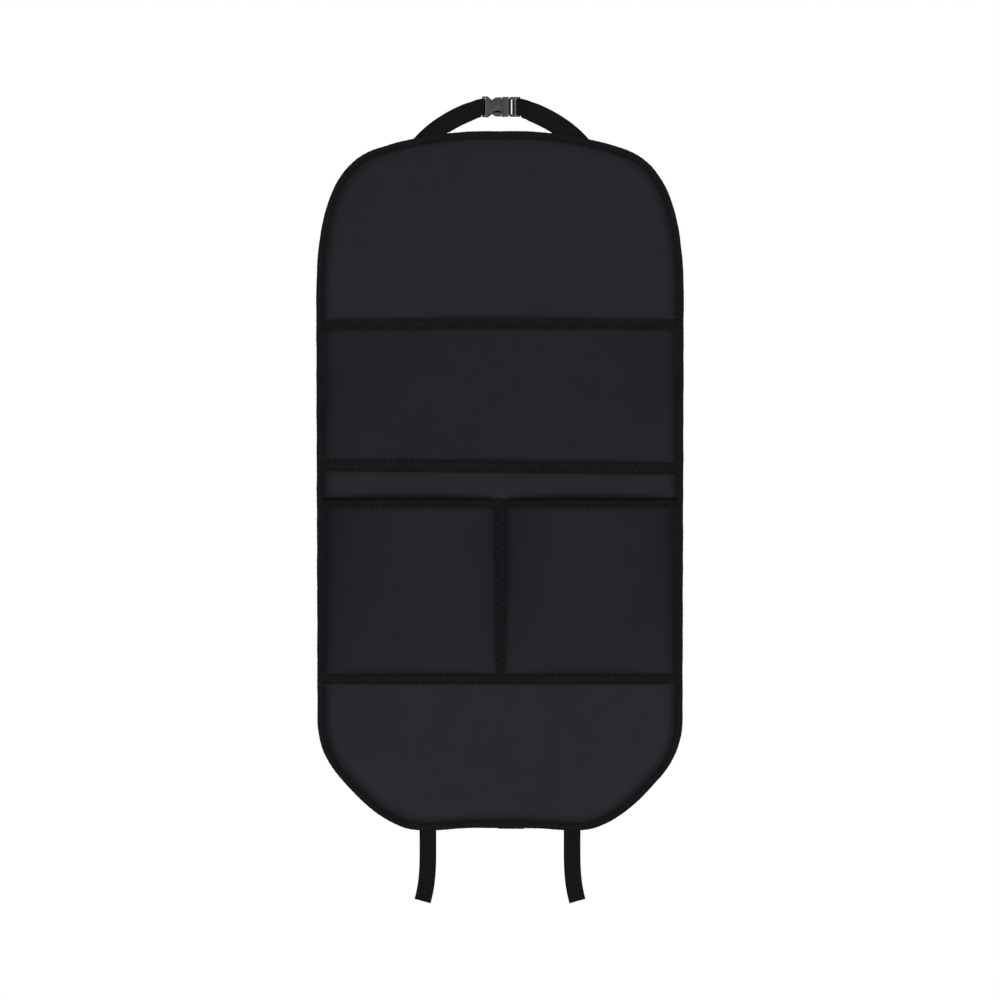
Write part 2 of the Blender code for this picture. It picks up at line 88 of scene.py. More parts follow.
place_in_scene = bpy.context.scene.collection.objects.link
camera_data = bpy.data.cameras.new("camera")
camera_data.lens = camera_data.sensor_width * CAMERA_DISTANCE / PICTURE_WIDTH
camera = bpy.data.objects.new("camera", camera_data)
camera.location = PICTURE_CENTRE + Vector((0, -CAMERA_DISTANCE, 0))
camera.rotation_euler = (math.pi / 2, 0, 0)
place_in_scene(camera)
bpy.context.scene.camera = camera
bpy.context.scene.view_settings.view_transform = "Standard"


def softbox(name, place, size, power):
    lamp = bpy.data.lights.new(name, "AREA")
    lamp.size, lamp.energy = size, power
    stand = bpy.data.objects.new(name, lamp)
    stand.location = place
    stand.rotation_euler = (PICTURE_CENTRE - Vector(place)).to_track_quat("-Z", "Y").to_euler()
    place_in_scene(stand)


for side, name in ((-1, "front"), (1, "back")):
    softbox(name + "_key_lamp", (0.3, side * 6.8, 0.1), 2.0, 115)
    softbox(name + "_upper_lamp", (0, side * 1.1, 1.6), 1.5, 11)
    softbox(name + "_left_lamp", (-1.7, side * 1.2, 0.1), 1.4, 1.5)
    softbox(name + "_right_lamp", (1.7, side * 1.2, 0.1), 1.4, 1.5)
    softbox(name + "_low_lamp", (0.1, side * 2.0, -0.72), 0.4, 10)

world = bpy.data.worlds.new("surround")
bpy.context.scene.world = world
tree = fresh_tree(world)
path = node(tree, "LightPath")
level = sums(tree, "MULTIPLY_ADD", path.outputs["Is Camera Ray"], 1 - SURROUND_LIGHT, SURROUND_LIGHT)
glow = node(tree, "Background", {"Color": (1, 1, 1, 1), "Strength": level})
node(tree, "OutputWorld", {"Surface": glow.outputs[0]})

bpy.ops.object.select_all(action="DESELECT")
bpy.ops.mesh.primitive_circle_add(vertices=96, radius=FLOOR_RADIUS, fill_type="NGON",
                                  location=(0, 0, FLOOR_HEIGHT))
floor = bpy.context.object
floor.name = "floor"
floor_paint = bpy.data.materials.new("pale_floor")
tree = fresh_tree(floor_paint)
spot = node(tree, "TexCoord").outputs["Object"]
away = node(tree, "VectorMath", {0: spot}, operation="LENGTH").outputs["Value"]
far = node(tree, "MapRange", {0: away, 1: FLOOR_FADE[0], 2: FLOOR_FADE[1]},
           interpolation_type="SMOOTHSTEP").outputs[0]
seen = node(tree, "LightPath").outputs["Is Camera Ray"]
white = node(tree, "Emission", {"Color": (1, 1, 1, 1), "Strength": 1.0})
matt = node(tree, "BsdfDiffuse", {"Color": (0.86, 0.86, 0.86, 1)})
mixed = node(tree, "MixShader", {0: sums(tree, "MULTIPLY", far, seen)})
tree.links.new(matt.outputs[0], mixed.inputs[1])
tree.links.new(white.outputs[0], mixed.inputs[2])
node(tree, "OutputMaterial", {"Surface": mixed.outputs[0]})
floor.data.materials.append(floor_paint)

# The mat is a sewn sandwich of black imitation leather, thin foam and a brushed backing cloth. It is
# pressed thin under the edge binding and along both hem tapes, and swells softly between them.
MAT_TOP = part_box("edge_binding")[1].z
MAT_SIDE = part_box("edge_binding")[1].x
MIDDLE_Y = (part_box("back_panel")[0].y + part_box("back_panel")[1].y) / 2
BINDING_WIDTH = 0.0082
TAPE_LAP = 0.0235
RIM_FRONT = 0.0028
FIELD_FRONT = 0.0040
BACK_SKIN = 0.0003
UPPER_MOUTH = 0.1595
UPPER_HEM = 0.0127
UPPER_HEM_WIDTH = 0.0122
UPPER_HEM_FALL = 0.0037
LOWER_MOUTH = -0.0184
LOWER_HEM = -0.1995
LOWER_HEM_WIDTH = 0.0100
EDGE_PITCH = 0.0012
SWELL_RUN = 0.0030
OPEN_SWELL = 0.0008
HEM_PRESS = 0.0007
UNEVENNESS = 0.00022
LEATHER_DARK, LEATHER_LIGHT = (0.0085, 0.0078, 0.0119), (0.0101, 0.0096, 0.0141)


def ahead(point, heading, reach):
    turn = math.radians(heading)
    return (point[0] + reach * math.cos(turn), point[1] + reach * math.sin(turn))


def bezier(start, start_handle, end_handle, end, steps):
    corners = [Vector((x, 0, z)) for x, z in (start, start_handle, end_handle, end)]
    return [(p.x, p.z) for p in interpolate_bezier(*corners, steps + 1)]


def run_along(line):
    """The distance of each of the line's points from its start."""
    return np.concatenate(([0], np.cumsum(np.linalg.norm(np.diff(line, axis=0), axis=1))))


def evenly(points, pitch):
    """The same line again with points at an even pitch, and the distance of each from its start."""
    line = np.array(points, float)
    run = run_along(line)
    steps = max(2, round(run[-1] / pitch))
    at = np.linspace(0, run[-1], steps + 1)
    return np.stack([np.interp(at, run, line[:, k]) for k in range(line.shape[1])], axis=1), at


def unit(vectors):
    return vectors / np.linalg.norm(vectors, axis=1)[:, None]


def half_edge():
    """The mat's outline from its bottom centre, up the right side, to its top centre."""
    anchors = (
        (TAPE_LAP, -MAT_TOP, 0, 0, 0.0308),
        (MAT_SIDE - 0.0851, -MAT_TOP + 0.0014, 21.1, 0.0223, 0.0321),
        (MAT_SIDE - 0.0272, -MAT_TOP + 0.0467, 47.5, 0.0116, 0.0374),
        (MAT_SIDE - 0.0011, -MAT_TOP + 0.1161, 90, 0.0203, 0.0800),
        (MAT_SIDE, MAT_TOP - 0.1649, 90, 0.0800, 0.0665),
        (MAT_SIDE - 0.0590, MAT_TOP - 0.0180, 161.2, 0.0510, 0.0628),
        (0, MAT_TOP, 180, 0.0131, 0),
    )
    points = [(0, -MAT_TOP)]
    for (x0, z0, turn0, _, reach0), (x1, z1, turn1, reach1, _) in zip(anchors, anchors[1:]):
        handles = ahead((x0, z0), turn0, reach0), ahead((x1, z1), turn1, -reach1)
        points += bezier((x0, z0), *handles, (x1, z1), 60)
    return points


half = half_edge()
EDGE, EDGE_RUN = evenly(half + [(-x, z) for x, z in reversed(half[:-1])], EDGE_PITCH)
EDGE, EDGE_LENGTH = EDGE[:-1], EDGE_RUN[-1]
along = unit(np.roll(EDGE, -2, axis=0) - np.roll(EDGE, 2, axis=0))
INWARD = np.stack([-along[:, 1], along[:, 0]], axis=1)


def half_width(z):
    """Half the mat's width at a height between its round corners."""
    right = EDGE[(EDGE[:, 0] > 0) & (EDGE[:, 1] > -MAT_TOP + 0.002)]
    return np.interp(z, right[:, 1], right[:, 0])


def edge_height(x, upper):
    """The height of the mat's top or bottom edge at a distance from its centre line."""
    rim = EDGE[(EDGE[:, 0] >= 0) & ((EDGE[:, 1] > 0) == upper)]
    rim = rim[np.argsort(rim[:, 0])]
    return np.interp(abs(x), rim[:, 0], rim[:, 1])


def from_edge(points):
    """Each point's distance from the outline."""
    found = np.empty(len(points))
    for k in range(0, len(points), 2000):
        away = points[k:k + 2000, None] - EDGE[None]
        found[k:k + 2000] = np.sqrt((away ** 2).sum(axis=2)).min(axis=1)
    return found


def smooth(t):
    t = np.clip(t, 0, 1)
    return t * t * (3 - 2 * t)


def ripple(x, z, size):
    """A gentle unevenness, between about -1 and 1, with waves of about the given size."""
    u, w = 2 * math.pi * x / size, 2 * math.pi * z / size
    waves = np.sin(0.83 * u + 0.41 * w + 1.3) + np.sin(-0.37 * u + 0.91 * w + 0.4)
    waves += 0.6 * np.sin(1.7 * u - 0.9 * w + 2.1) + 0.6 * np.sin(1.1 * u + 1.9 * w + 5.2)
    return waves / 3.2


def under_tape(x, z):
    """How far a point lies above or below the nearer hem tape, 0 under the tape itself."""
    upper = np.abs(z - (UPPER_HEM - UPPER_HEM_FALL * x / (2 * MAT_SIDE))) - UPPER_HEM_WIDTH / 2
    lower = np.abs(z - LOWER_HEM) - LOWER_HEM_WIDTH / 2
    return np.maximum(0, np.minimum(upper, lower))


def mat_front(x, z, away):
    """How far in front of the mat's back its leather face lies."""
    inside = np.maximum(0, away - BINDING_WIDTH + 0.0006)
    swell = RIM_FRONT + (FIELD_FRONT - RIM_FRONT) * (1 - np.exp(-inside / SWELL_RUN))
    in_pocket = ((z < UPPER_MOUTH) & (z > UPPER_HEM)) | ((z < LOWER_MOUTH) & (z > LOWER_HEM))
    open_field = np.where(in_pocket, 0, 1) * smooth(inside / 0.006)
    room = np.minimum(np.abs(z - UPPER_MOUTH), np.abs(z - LOWER_MOUTH))
    open_field *= smooth(room / 0.012)
    swell += OPEN_SWELL * (1.5 - np.exp(-inside / 0.0040)) * open_field
    swell += UNEVENNESS * smooth(inside / 0.03) * ripple(x, z, 0.16)
    return swell - HEM_PRESS * np.exp(-under_tape(x, z) / 0.0028) * smooth(inside / 0.004)


def new_piece(name, mesh, finishes):
    piece = bpy.data.objects.new(name, mesh)
    for finish in finishes:
        mesh.materials.append(finish)
    place_in_scene(piece)
    return piece


def built(name, builder, finishes, crack):
    """The builder's mesh as a piece with smooth shading up to the crack's angle."""
    bmesh.ops.recalc_face_normals(builder, faces=builder.faces)
    mesh = bpy.data.meshes.new(name)
    builder.to_mesh(mesh)
    builder.free()
    smoothed(mesh, crack)
    return new_piece(name, mesh, finishes)


def reshape(piece, kind, **settings):
    """Apply a modifier of a kind with its settings to the piece."""
    change = piece.modifiers.new(kind, kind)
    for key, value in settings.items():
        setattr(change, key, value)
    bpy.context.view_layer.objects.active = piece
    bpy.ops.object.modifier_apply(modifier=change.name)


def smoothed(mesh, crack):
    """Smooth shading, except where faces meet at more than the crack's angle in degrees."""
    mesh.shade_smooth()
    mesh.set_sharp_from_angle(angle=math.radians(crack))


def noise(tree, place, scale, detail):
    inputs = {"Vector": place, "Scale": scale, "Detail": detail}
    return node(tree, "TexNoise", inputs).outputs["Fac"]


def ramp(tree, factor, low, high, dark, light, tint=1):
    """A tinted tone, from the dark colour at the low factor to the light one at the high factor."""
    made = node(tree, "ValToRGB", {"Fac": factor})
    for stop, position, colour in zip(made.color_ramp.elements, (low, high), (dark, light)):
        stop.position, stop.color = position, (*np.multiply(colour, tint), 1)
    return made.outputs["Color"]


def fresh_finish(name):
    """A new material, its node tree and its texture coordinates."""
    finish = bpy.data.materials.new(name)
    tree = fresh_tree(finish)
    return finish, tree, node(tree, "TexCoord").outputs


def skin(tree, colour, roughness, gloss, relief, height, fuzz=(0, 0.5)):
    """The finish's face. Relief is its strength and depth, fuzz the sheen's weight and roughness."""
    bump = node(tree, "Bump", {"Strength": relief[0], "Distance": relief[1], "Height": height})
    face = node(tree, "BsdfPrincipled", {
        "Base Color": colour, "Roughness": roughness, "Specular IOR Level": gloss,
        "Sheen Weight": fuzz[0], "Sheen Roughness": fuzz[1], "Normal": bump.outputs[0]})
    node(tree, "OutputMaterial", {"Surface": face.outputs[0]})


def leather_finish(name, tint):
    """Black imitation leather: a fine pebbled grain, a satin face and faint clouds of tone."""
    finish, tree, places = fresh_finish(name)
    place = places["Object"]
    tone = ramp(tree, noise(tree, place, 9, 3), 0.3, 0.72, LEATHER_DARK, LEATHER_LIGHT, tint)
    pebbles = node(tree, "TexVoronoi", {"Vector": place, "Scale": 820, "Randomness": 0.9},
                   feature="DISTANCE_TO_EDGE").outputs["Distance"]
    valleys = node(tree, "MapRange", {0: pebbles, 1: 0.0, 2: 0.28},
                   interpolation_type="SMOOTHSTEP").outputs[0]
    grain = sums(tree, "MULTIPLY_ADD", noise(tree, place, 1700, 2), 0.5, valleys)
    shine = node(tree, "MapRange", {0: noise(tree, place, 60, 3), 3: 0.52, 4: 0.62}).outputs[0]
    skin(tree, tone, shine, 0.14, (0.5, 0.00009), grain)
    return finish


def backing_finish():
    """Brushed black backing cloth: short soft fibres without a weave."""
    finish, tree, places = fresh_finish("black_backing_cloth")
    fibres = noise(tree, places["Object"], 900, 4)
    tone = ramp(tree, fibres, 0.35, 0.7, (0.009, 0.009, 0.010), (0.019, 0.019, 0.021))
    skin(tree, tone, 0.95, 0.2, (0.6, 0.0002), fibres, (0.12, 0.5))
    return finish


LEATHER = leather_finish("black_leather", 1)
BACKING = backing_finish()


def build_mat():
    """A fine flat net of points inside the outline, lifted to its face and closed by a flat back."""
    points = []
    for inset, skip in ((0.0018, 3), (0.005, 3), (0.0076, 3), (0.0084, 3), (0.0093, 3), (0.0105, 3),
                        (0.0122, 3), (0.0145, 3), (0.018, 4), (0.023, 4)):
        points.append((EDGE + INWARD * inset)[::skip])
    rim_count = len(points[0])
    span = np.arange(-0.18, 0.1801, 0.005)
    rows = list(np.arange(-0.34, 0.3401, 0.005))
    for edge in (UPPER_HEM - UPPER_HEM_WIDTH / 2, LOWER_HEM - LOWER_HEM_WIDTH / 2):
        rows += [edge - step for step in (0.0006, 0.002, 0.0036)]
    grid = np.array([(x, z) for z in rows for x in span])
    grid = grid[from_edge(grid) > 0.0265]
    grid = grid[np.abs(grid[:, 0]) < half_width(grid[:, 1])]
    flat = np.concatenate(points + [grid])
    found = delaunay_2d_cdt([Vector(p) for p in flat], [], [list(range(rim_count))], 1, 1e-6)
    flat, faces = np.array([tuple(v) for v in found[0]]), found[2]
    away = from_edge(flat)
    front = mat_front(flat[:, 0], flat[:, 1], away)
    rim = smooth((away - BINDING_WIDTH + 0.001) / 0.0016)
    back = BACK_SKIN + (1 - rim) * 0.0009
    builder = bmesh.new()
    ahead_of, behind = ([builder.verts.new((x, -y, z)) for (x, z), y in zip(flat, reach)]
                        for reach in (front, back))
    for a, b, c in faces:
        builder.faces.new((ahead_of[a], ahead_of[b], ahead_of[c]))
    open_rim = [edge for edge in builder.edges if len(edge.link_faces) == 1]
    numbered = {vertex: k for k, vertex in enumerate(ahead_of)}
    for a, b, c in faces:
        builder.faces.new((behind[c], behind[b], behind[a])).material_index = 1
    for edge in open_rim:
        a, b = (numbered[v] for v in edge.verts)
        builder.faces.new((ahead_of[a], ahead_of[b], behind[b], behind[a]))
    return built("padded_mat", builder, (LEATHER, BACKING), 60)


def place_sewn(piece):
    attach(piece, "mat")
    return piece


mat = place_sewn(build_mat())
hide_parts("back_panel")

# One long ribbed polyester tape is folded over the mat's edge and sewn through from the front. It
# swells over the pockets' edges, and its end laps over its start at the bottom centre.
TAPE = 0.0006
FOLD_HEIGHT = 0.0018
STITCH_INSET = 0.0062
STITCH_PITCH = 0.0060
POCKET_STACK = 0.0011
LAP_LIFT = 0.0008
THREAD = 0.00032
THREAD_SINK = 0.00030
STACK_FROM = 0.15


def loft(name, rings, run, across, finish, holes=None):
    """A capped skin over rings of points, with a UV map in metres along and across it."""
    rows, count = rings.shape[:2]
    builder = bmesh.new()
    sheet = builder.loops.layers.uv.new("weave")
    grid = [[builder.verts.new(point) for point in ring] for ring in rings]
    for i in range(rows - 1):
        for j in range(count):
            beside = (j + 1) % count
            corners = ((i, j), (i, beside), (i + 1, beside), (i + 1, j))
            face = builder.faces.new([grid[row][place] for row, place in corners])
            for corner, (row, place) in zip(face.loops, corners):
                corner[sheet].uv = (run[row], across[place])
    for i, end in ((0, grid[0]), (rows - 1, grid[-1])):
        face = builder.faces.new(end)
        for corner, place in zip(face.loops, across):
            corner[sheet].uv = (run[i], place)
    piece = built(name, builder, (finish,), 50)
    # The holes array becomes the attribute that paints near-black shade into the finish.
    if holes is not None:
        marks = piece.data.attributes.new("needle_hole", "FLOAT", "POINT")
        marks.data.foreach_set("value", holes.ravel())
    return piece


def mix(tree, factor, first, second):
    inputs = {"Factor": factor, "A": first, "B": second}
    return node(tree, "Mix", inputs, data_type="RGBA").outputs["Result"]


def woven_finish(name, valley, ridge, rib, strand, depth):
    """Woven tape or webbing: slanted ribs across it, turned about in each strand, fine fuzz, painted sheen
    on the rib tops, painted shade in the valleys, and near-black painted shade where the mesh marks needle
    holes and the lower mouth fold."""
    finish, tree, places = fresh_finish(name)
    split = node(tree, "SeparateXYZ", {0: places["UV"]}).outputs
    slant = sums(tree, "ADD", split["X"], sums(tree, "PINGPONG", split["Y"], strand))
    ribs = sums(tree, "SINE", sums(tree, "MULTIPLY", slant, 2 * math.pi / rib))
    edges = sums(tree, "COSINE", sums(tree, "MULTIPLY", split["Y"], 2 * math.pi / strand))
    weave = sums(tree, "MULTIPLY_ADD", edges, 0.14, sums(tree, "MULTIPLY_ADD", ribs, 0.38, 0.5))
    height = sums(tree, "MULTIPLY_ADD", noise(tree, places["Object"], 1500, 3), 0.5, weave)
    # Random mottling plus the weave: rib tops painted lighter as painted sheen, valleys painted darker as
    # painted shade.
    mottle_with_painted_light = sums(tree, "MULTIPLY_ADD", noise(tree, places["Object"], 130, 3), 0.5, weave)
    tone = node(tree, "MapRange", {0: mottle_with_painted_light, 1: 0.2, 2: 1.2}).outputs[0]
    # The mesh's attribute mixes in near-black painted shade at needle holes and along the lower pockets'
    # mouth fold.
    hole = node(tree, "Attribute", attribute_name="needle_hole").outputs["Fac"]
    colour = mix(tree, hole, mix(tree, tone, (*valley, 1), (*ridge, 1)), (0.0005, 0.0005, 0.0005, 1))
    skin(tree, colour, 0.82, 0.06, (0.8, depth), height, (0.02, 0.45))
    return finish


def thread_finish():
    """Bonded black thread: a slight sheen along its twist."""
    finish, tree, places = fresh_finish("black_thread")
    twist = noise(tree, places["Object"], 2600, 2)
    colour = mix(tree, twist, (0.005, 0.005, 0.0055, 1), (0.014, 0.014, 0.015, 1))
    skin(tree, colour, 0.7, 0.08, (0.6, 0.00008), twist)
    return finish


TAPE_CLOTH = woven_finish("ribbed_tape", (0.0014, 0.0014, 0.0017), (0.0150, 0.0150, 0.0162), 0.0012, 0.0017,
                          0.00018)
THREAD_BLACK = thread_finish()


def fold_section(width, stitch, height):
    """A folded tape's section: its depths below the fold, heights off its middle, run along the cloth,
    and the count of its outer points."""
    seam = [stitch + step for step in (0.0012, 0.0005, 0, -0.0005, -0.0014)]
    front = np.array([width] + seam + [0.0032, 0.0019, 0.0009, 0.0003])
    back = np.array([0.0, 0.0003, 0.0009, 0.0019, 0.0034] + seam[-2:0:-1] + [width])
    depth = np.concatenate((front, back))
    turned = np.concatenate((-np.ones(len(front)), np.ones(len(back))))
    turned[len(front)] = 0
    round_off = np.sqrt(np.maximum(0, 1 - (1 - np.minimum(depth / height, 1)) ** 2))
    inner = np.array([width, 0.0055, 0.0025, 0.0012, 0.0012, 0.0025, 0.0055, width])
    inner_height = (height - TAPE) * np.array([1, 1, 1, 0.6, -0.6, -1, -1, -1])
    depths = np.concatenate((depth, inner))
    heights = np.concatenate((height * round_off * turned, inner_height))
    outer = run_along(np.stack([depth, heights[:len(depth)]], axis=1))
    runs = np.concatenate((outer, outer[-1] - np.linspace(0, outer[-1], len(inner))))
    return depths, heights, runs, len(depth)


def bell(distance, width):
    return np.exp(-(distance / width) ** 2)


def pinch(run, pitch):
    """1 at each needle hole along a seam, falling to 0 between them."""
    return bell((((run / pitch) + 0.5) % 1 - 0.5) * pitch, 0.0012)


def beside_pocket(z):
    """1 where a pocket's edge is sewn in under the binding, 0 elsewhere."""
    upper = smooth((UPPER_MOUTH + 0.001 - z) / 0.004) * smooth((z - UPPER_HEM + 0.009) / 0.004)
    lower = smooth((LOWER_MOUTH + 0.001 - z) / 0.004) * smooth((z - LOWER_HEM + 0.008) / 0.004)
    return np.maximum(upper, lower)


def build_edge_binding():
    depths, heights, runs, outer = fold_section(BINDING_WIDTH, STITCH_INSET, FOLD_HEIGHT)
    lap = round((TAPE_LAP + 0.0005) / EDGE_PITCH)
    order = np.arange(len(EDGE) + lap + 1)
    base, into = EDGE[order % len(EDGE)], INWARD[order % len(EDGE)]
    run = order * EDGE_PITCH
    lift = LAP_LIFT * smooth((run - EDGE_LENGTH + 0.004) / 0.004)
    x, z = base.T
    stack = POCKET_STACK * beside_pocket(z) * (np.abs(x) > STACK_FROM)
    holes = np.zeros((len(order), len(depths)))
    rings = np.zeros((*holes.shape, 3))
    wave = 0.00008 * np.sin(run / STITCH_PITCH * 2 * math.pi) + 0.00022 * ripple(x, z, 0.035)
    for j, (depth, height) in enumerate(zip(depths, heights)):
        grown = depth - lift * (1 - smooth(depth / 0.004))
        reach = grown + wave * (1 if depth < 0.001 or depth > 0.0072 else 0.3)
        at = base + into * reach[:, None]
        up = np.sign(height) * lift + height
        if j < outer:
            near_seam = bell(depth - STITCH_INSET, 0.0008)
            # Needle holes along the seam: they dimple the tape and paint near-black shade into it.
            holes[:, j] = near_seam * pinch(run, STITCH_PITCH)
            up = up - np.sign(height) * (0.00012 * near_seam + 0.00042 * holes[:, j])
            up = up + np.sign(height) * 0.00008 * ripple(x * 1.7, z * 1.7 + depth * 9, 0.012)
        if height < 0:
            up = up - stack * smooth((depth - 0.001) / 0.005)
        rings[:, j] = np.stack([at[:, 0], MIDDLE_Y + up, at[:, 1]], axis=1)
    return loft("folded_edge_binding", rings, run, runs, TAPE_CLOTH, holes)


def threads(name, spots, up):
    """A row of short threads from spot to spot, each bent into its needle hole at both ends."""
    shares, rises, sizes = (0.10, 0.20, 0.5, 0.80, 0.90), (-1.6, -0.1, 0.5, -0.1, -1.6), (0.7, 1, 1.1, 1, 0.7)
    up, turns = Vector(up), [math.radians(60 * k) for k in range(6)]
    builder = bmesh.new()
    for start, end in zip(spots, spots[1:]):
        start, end = Vector(start), Vector(end)
        beside = (end - start).normalized().cross(up).normalized()
        rings = []
        for share, rise, size in zip(shares, rises, sizes):
            middle = start.lerp(end, share) + up * (rise * THREAD_SINK)
            round_it = [(beside * math.cos(turn) + up * math.sin(turn)) * THREAD * size for turn in turns]
            rings.append([builder.verts.new(middle + out) for out in round_it])
        for ring, after in zip(rings, rings[1:]):
            for k in range(6):
                builder.faces.new((ring[k], ring[k - 5], after[k - 5], after[k]))
        builder.faces.new(rings[0][::-1])
        builder.faces.new(rings[-1])
    return built(name, builder, (THREAD_BLACK,), 180)


def build_edge_threads(turn):
    """The lock stitch near the binding's inner edge: turn is -1 for its front and 1 for its back."""
    spots = []
    for k in range(round((EDGE_LENGTH + TAPE_LAP - 0.004) / STITCH_PITCH) + 1):
        run = k * STITCH_PITCH
        low, part = int(run / EDGE_PITCH) % len(EDGE), run / EDGE_PITCH % 1
        here = EDGE[low] * (1 - part) + EDGE[(low + 1) % len(EDGE)] * part
        at = here + INWARD[low] * STITCH_INSET
        stand = FOLD_HEIGHT - 0.0003 + LAP_LIFT * smooth((run - EDGE_LENGTH + 0.004) / 0.004)
        if turn < 0:
            stand += POCKET_STACK * beside_pocket(here[1]) * (abs(here[0]) > STACK_FROM)
        spots.append((at[0], MIDDLE_Y + turn * stand, at[1]))
    return threads("edge_threads_" + ("front" if turn < 0 else "back"), spots, (0, turn, 0))


binding = place_sewn(build_edge_binding())
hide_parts("edge_binding")
for turn in (-1, 1):
    place_sewn(build_edge_threads(turn))

# Each pocket is one leather sheet, lined like the mat. Its sides go under the edge binding, a folded
# tape binds its mouth, and a flat tape sewn with zigzag stitches holds its hem to the mat.
SHEET = 0.0012
SHEET_FRONT = 0.0060
SIDE_DIP = 0.0018
SEAM_DIP = 0.0011
MOUTH_TAPE_WIDTH = 0.0100
MOUTH_STITCH = 0.0070
MOUTH_FOLD_HEIGHT = 0.0013
TAPE_STAND = 0.0007
ZIGZAG_PITCH = 0.0070
TUCK = 0.0012
HEM_STITCH_INSET = 0.0016
ARCH_ACROSS, ARCH_UP = 0.6, 0.8
UPPER_ARCH, LOWER_ARCH = 0.0070, 0.0100
DIVIDER_X = 0.0006
DIVIDER_WIDTH = 0.0080
# The pocket sheets use a darker, bluer tinted copy of the mat's leather, so that they read darker than the
# mat.
POCKET_LEATHER = leather_finish("black_pocket_leather", (0.59, 0.56, 0.74))


class Pocket:
    def __init__(self, name, mouth, hem, hem_width, hem_fall, depth, seams=(), dip=0, fold_painted_shade=0):
        """Seams pin the sheet at these x and pull its mouth down by the dip. The last argument paints shade
        along the top of its mouth binding's fold.
        """
        self.name, self.mouth, self.hem, self.hem_width, self.hem_fall = name, mouth, hem, hem_width, hem_fall
        self.depth, self.seams, self.dip, self.fold_painted_shade = depth, seams, dip, fold_painted_shade

    def mouth_at(self, x):
        return self.mouth - self.dip * self.near_seams(x, 0.012)

    def near_seams(self, x, width):
        return sum((bell(x - seam, width) for seam in self.seams), np.zeros_like(x))

    def hem_at(self, x):
        return self.hem - self.hem_fall * x / (2 * MAT_SIDE)

    def hem_top(self, x):
        return self.hem_at(x) + self.hem_width / 2

    def share_across(self, x, side):
        """Each point's place between the seams on its left and right, from 0 to 1."""
        low, high = -side, side
        for seam in self.seams:
            low = np.where(x > seam, seam + DIVIDER_WIDTH / 2, low)
            high = np.where(x <= seam, seam - DIVIDER_WIDTH / 2, high)
        return np.clip((x - low) / (high - low), 0, 1)

    def front(self, x, z):
        """How far in front of the mat's back the sheet's face lies."""
        side = half_width(z) - BINDING_WIDTH
        top = self.hem_top(x)
        share = np.clip((z - top) / (self.mouth_at(x) - top), 0, 1)
        from_side, from_hem = np.maximum(0, side - np.abs(x)), np.maximum(0, z - top)
        dips = np.maximum(SIDE_DIP * np.exp(-from_side / 0.0034), SEAM_DIP * np.exp(-from_hem / 0.0024))
        near_seam = np.exp(-from_side / 0.004) * np.cos(2 * math.pi * z / STITCH_PITCH)
        for seam in self.seams:
            from_seam = np.maximum(0, np.abs(x - seam) - DIVIDER_WIDTH / 2)
            dips = np.maximum(dips, SEAM_DIP * np.exp(-from_seam / 0.0022))
            near_seam += np.exp(-from_seam / 0.004) * np.cos(2 * math.pi * z / ZIGZAG_PITCH)
        near_seam += np.exp(-from_hem / 0.004) * np.cos(2 * math.pi * x / ZIGZAG_PITCH)
        across = np.sin(math.pi * self.share_across(x, side))
        arch = self.depth * np.maximum(0, across) ** ARCH_ACROSS * np.sin(math.pi / 2 * share) ** ARCH_UP
        loose = smooth(from_hem / 0.02) * smooth(from_side / 0.02)
        pressed = 0.0005 * (1 - smooth((self.mouth_at(x) - MOUTH_TAPE_WIDTH - z) / 0.0028))
        uneven = 0.0005 * loose * ripple(x, z, 0.11) + 0.00010 * near_seam
        return SHEET_FRONT + 0.0010 * share + arch - dips - pressed + uneven

    def middle(self, x, z):
        return self.front(x, z) - SHEET / 2


def spread_from(near, far, ends):
    """Places between two seams, close together beside each and wider apart between them."""
    steps = [step for step in ends if step < (far - near) / 2]
    inner = np.linspace(near + steps[-1], far - steps[-1], max(3, round((far - near) / 0.008)))
    return [near + s for s in steps[:-1]] + list(inner) + [far - s for s in reversed(steps[:-1])]


BESIDE_SEAM = (0, 0.0005, 0.0011, 0.0018, 0.0027, 0.004, 0.006, 0.009, 0.014)


def build_sheet(pocket):
    """The sheet's face as a net from under its hem tape to inside its mouth binding."""
    height = pocket.mouth - pocket.hem
    levels = list(np.linspace(0, 1, round(height / 0.0015)))
    levels += [step / height for step in (0.0004, 0.001)]
    levels = sorted(levels + [1 - (MOUTH_TAPE_WIDTH + step) / height for step in (-0.0002, 0.0004, 0.0022)])
    builder = bmesh.new()
    net = []
    for level in [-2, -1] + levels:
        z_guess = pocket.hem + max(0, level) * height
        side = half_width(z_guess) - BINDING_WIDTH
        pins = [seam + turn * DIVIDER_WIDTH / 2 for seam in pocket.seams for turn in (-1, 1)]
        walls = [-side] + pins + [side]
        xs = [-side - TUCK]
        for near, far in zip(walls[::2], walls[1::2]):
            xs += spread_from(near, far, BESIDE_SEAM)
        xs = np.array(xs + [side + TUCK])
        top = pocket.hem_top(xs)
        reach = pocket.mouth_at(xs) - TAPE - 0.0001 - top if level >= 0 else (pocket.hem_width - 0.0015) / 2
        z = top + reach * level
        net.append([builder.verts.new(point) for point in zip(xs, -pocket.front(xs, z), z)])
    for row, above in zip(net, net[1:]):
        for a, b, c, d in zip(row, row[1:], above[1:], above):
            builder.faces.new((a, b, c, d))
    sheet = built(pocket.name + "_sheet", builder, (POCKET_LEATHER, BACKING), 60)
    if sum(face.normal.y for face in sheet.data.polygons) > 0:
        sheet.data.flip_normals()
    reshape(sheet, "SOLIDIFY", thickness=SHEET, offset=-1, material_offset=1)
    smoothed(sheet.data, 60)
    return sheet


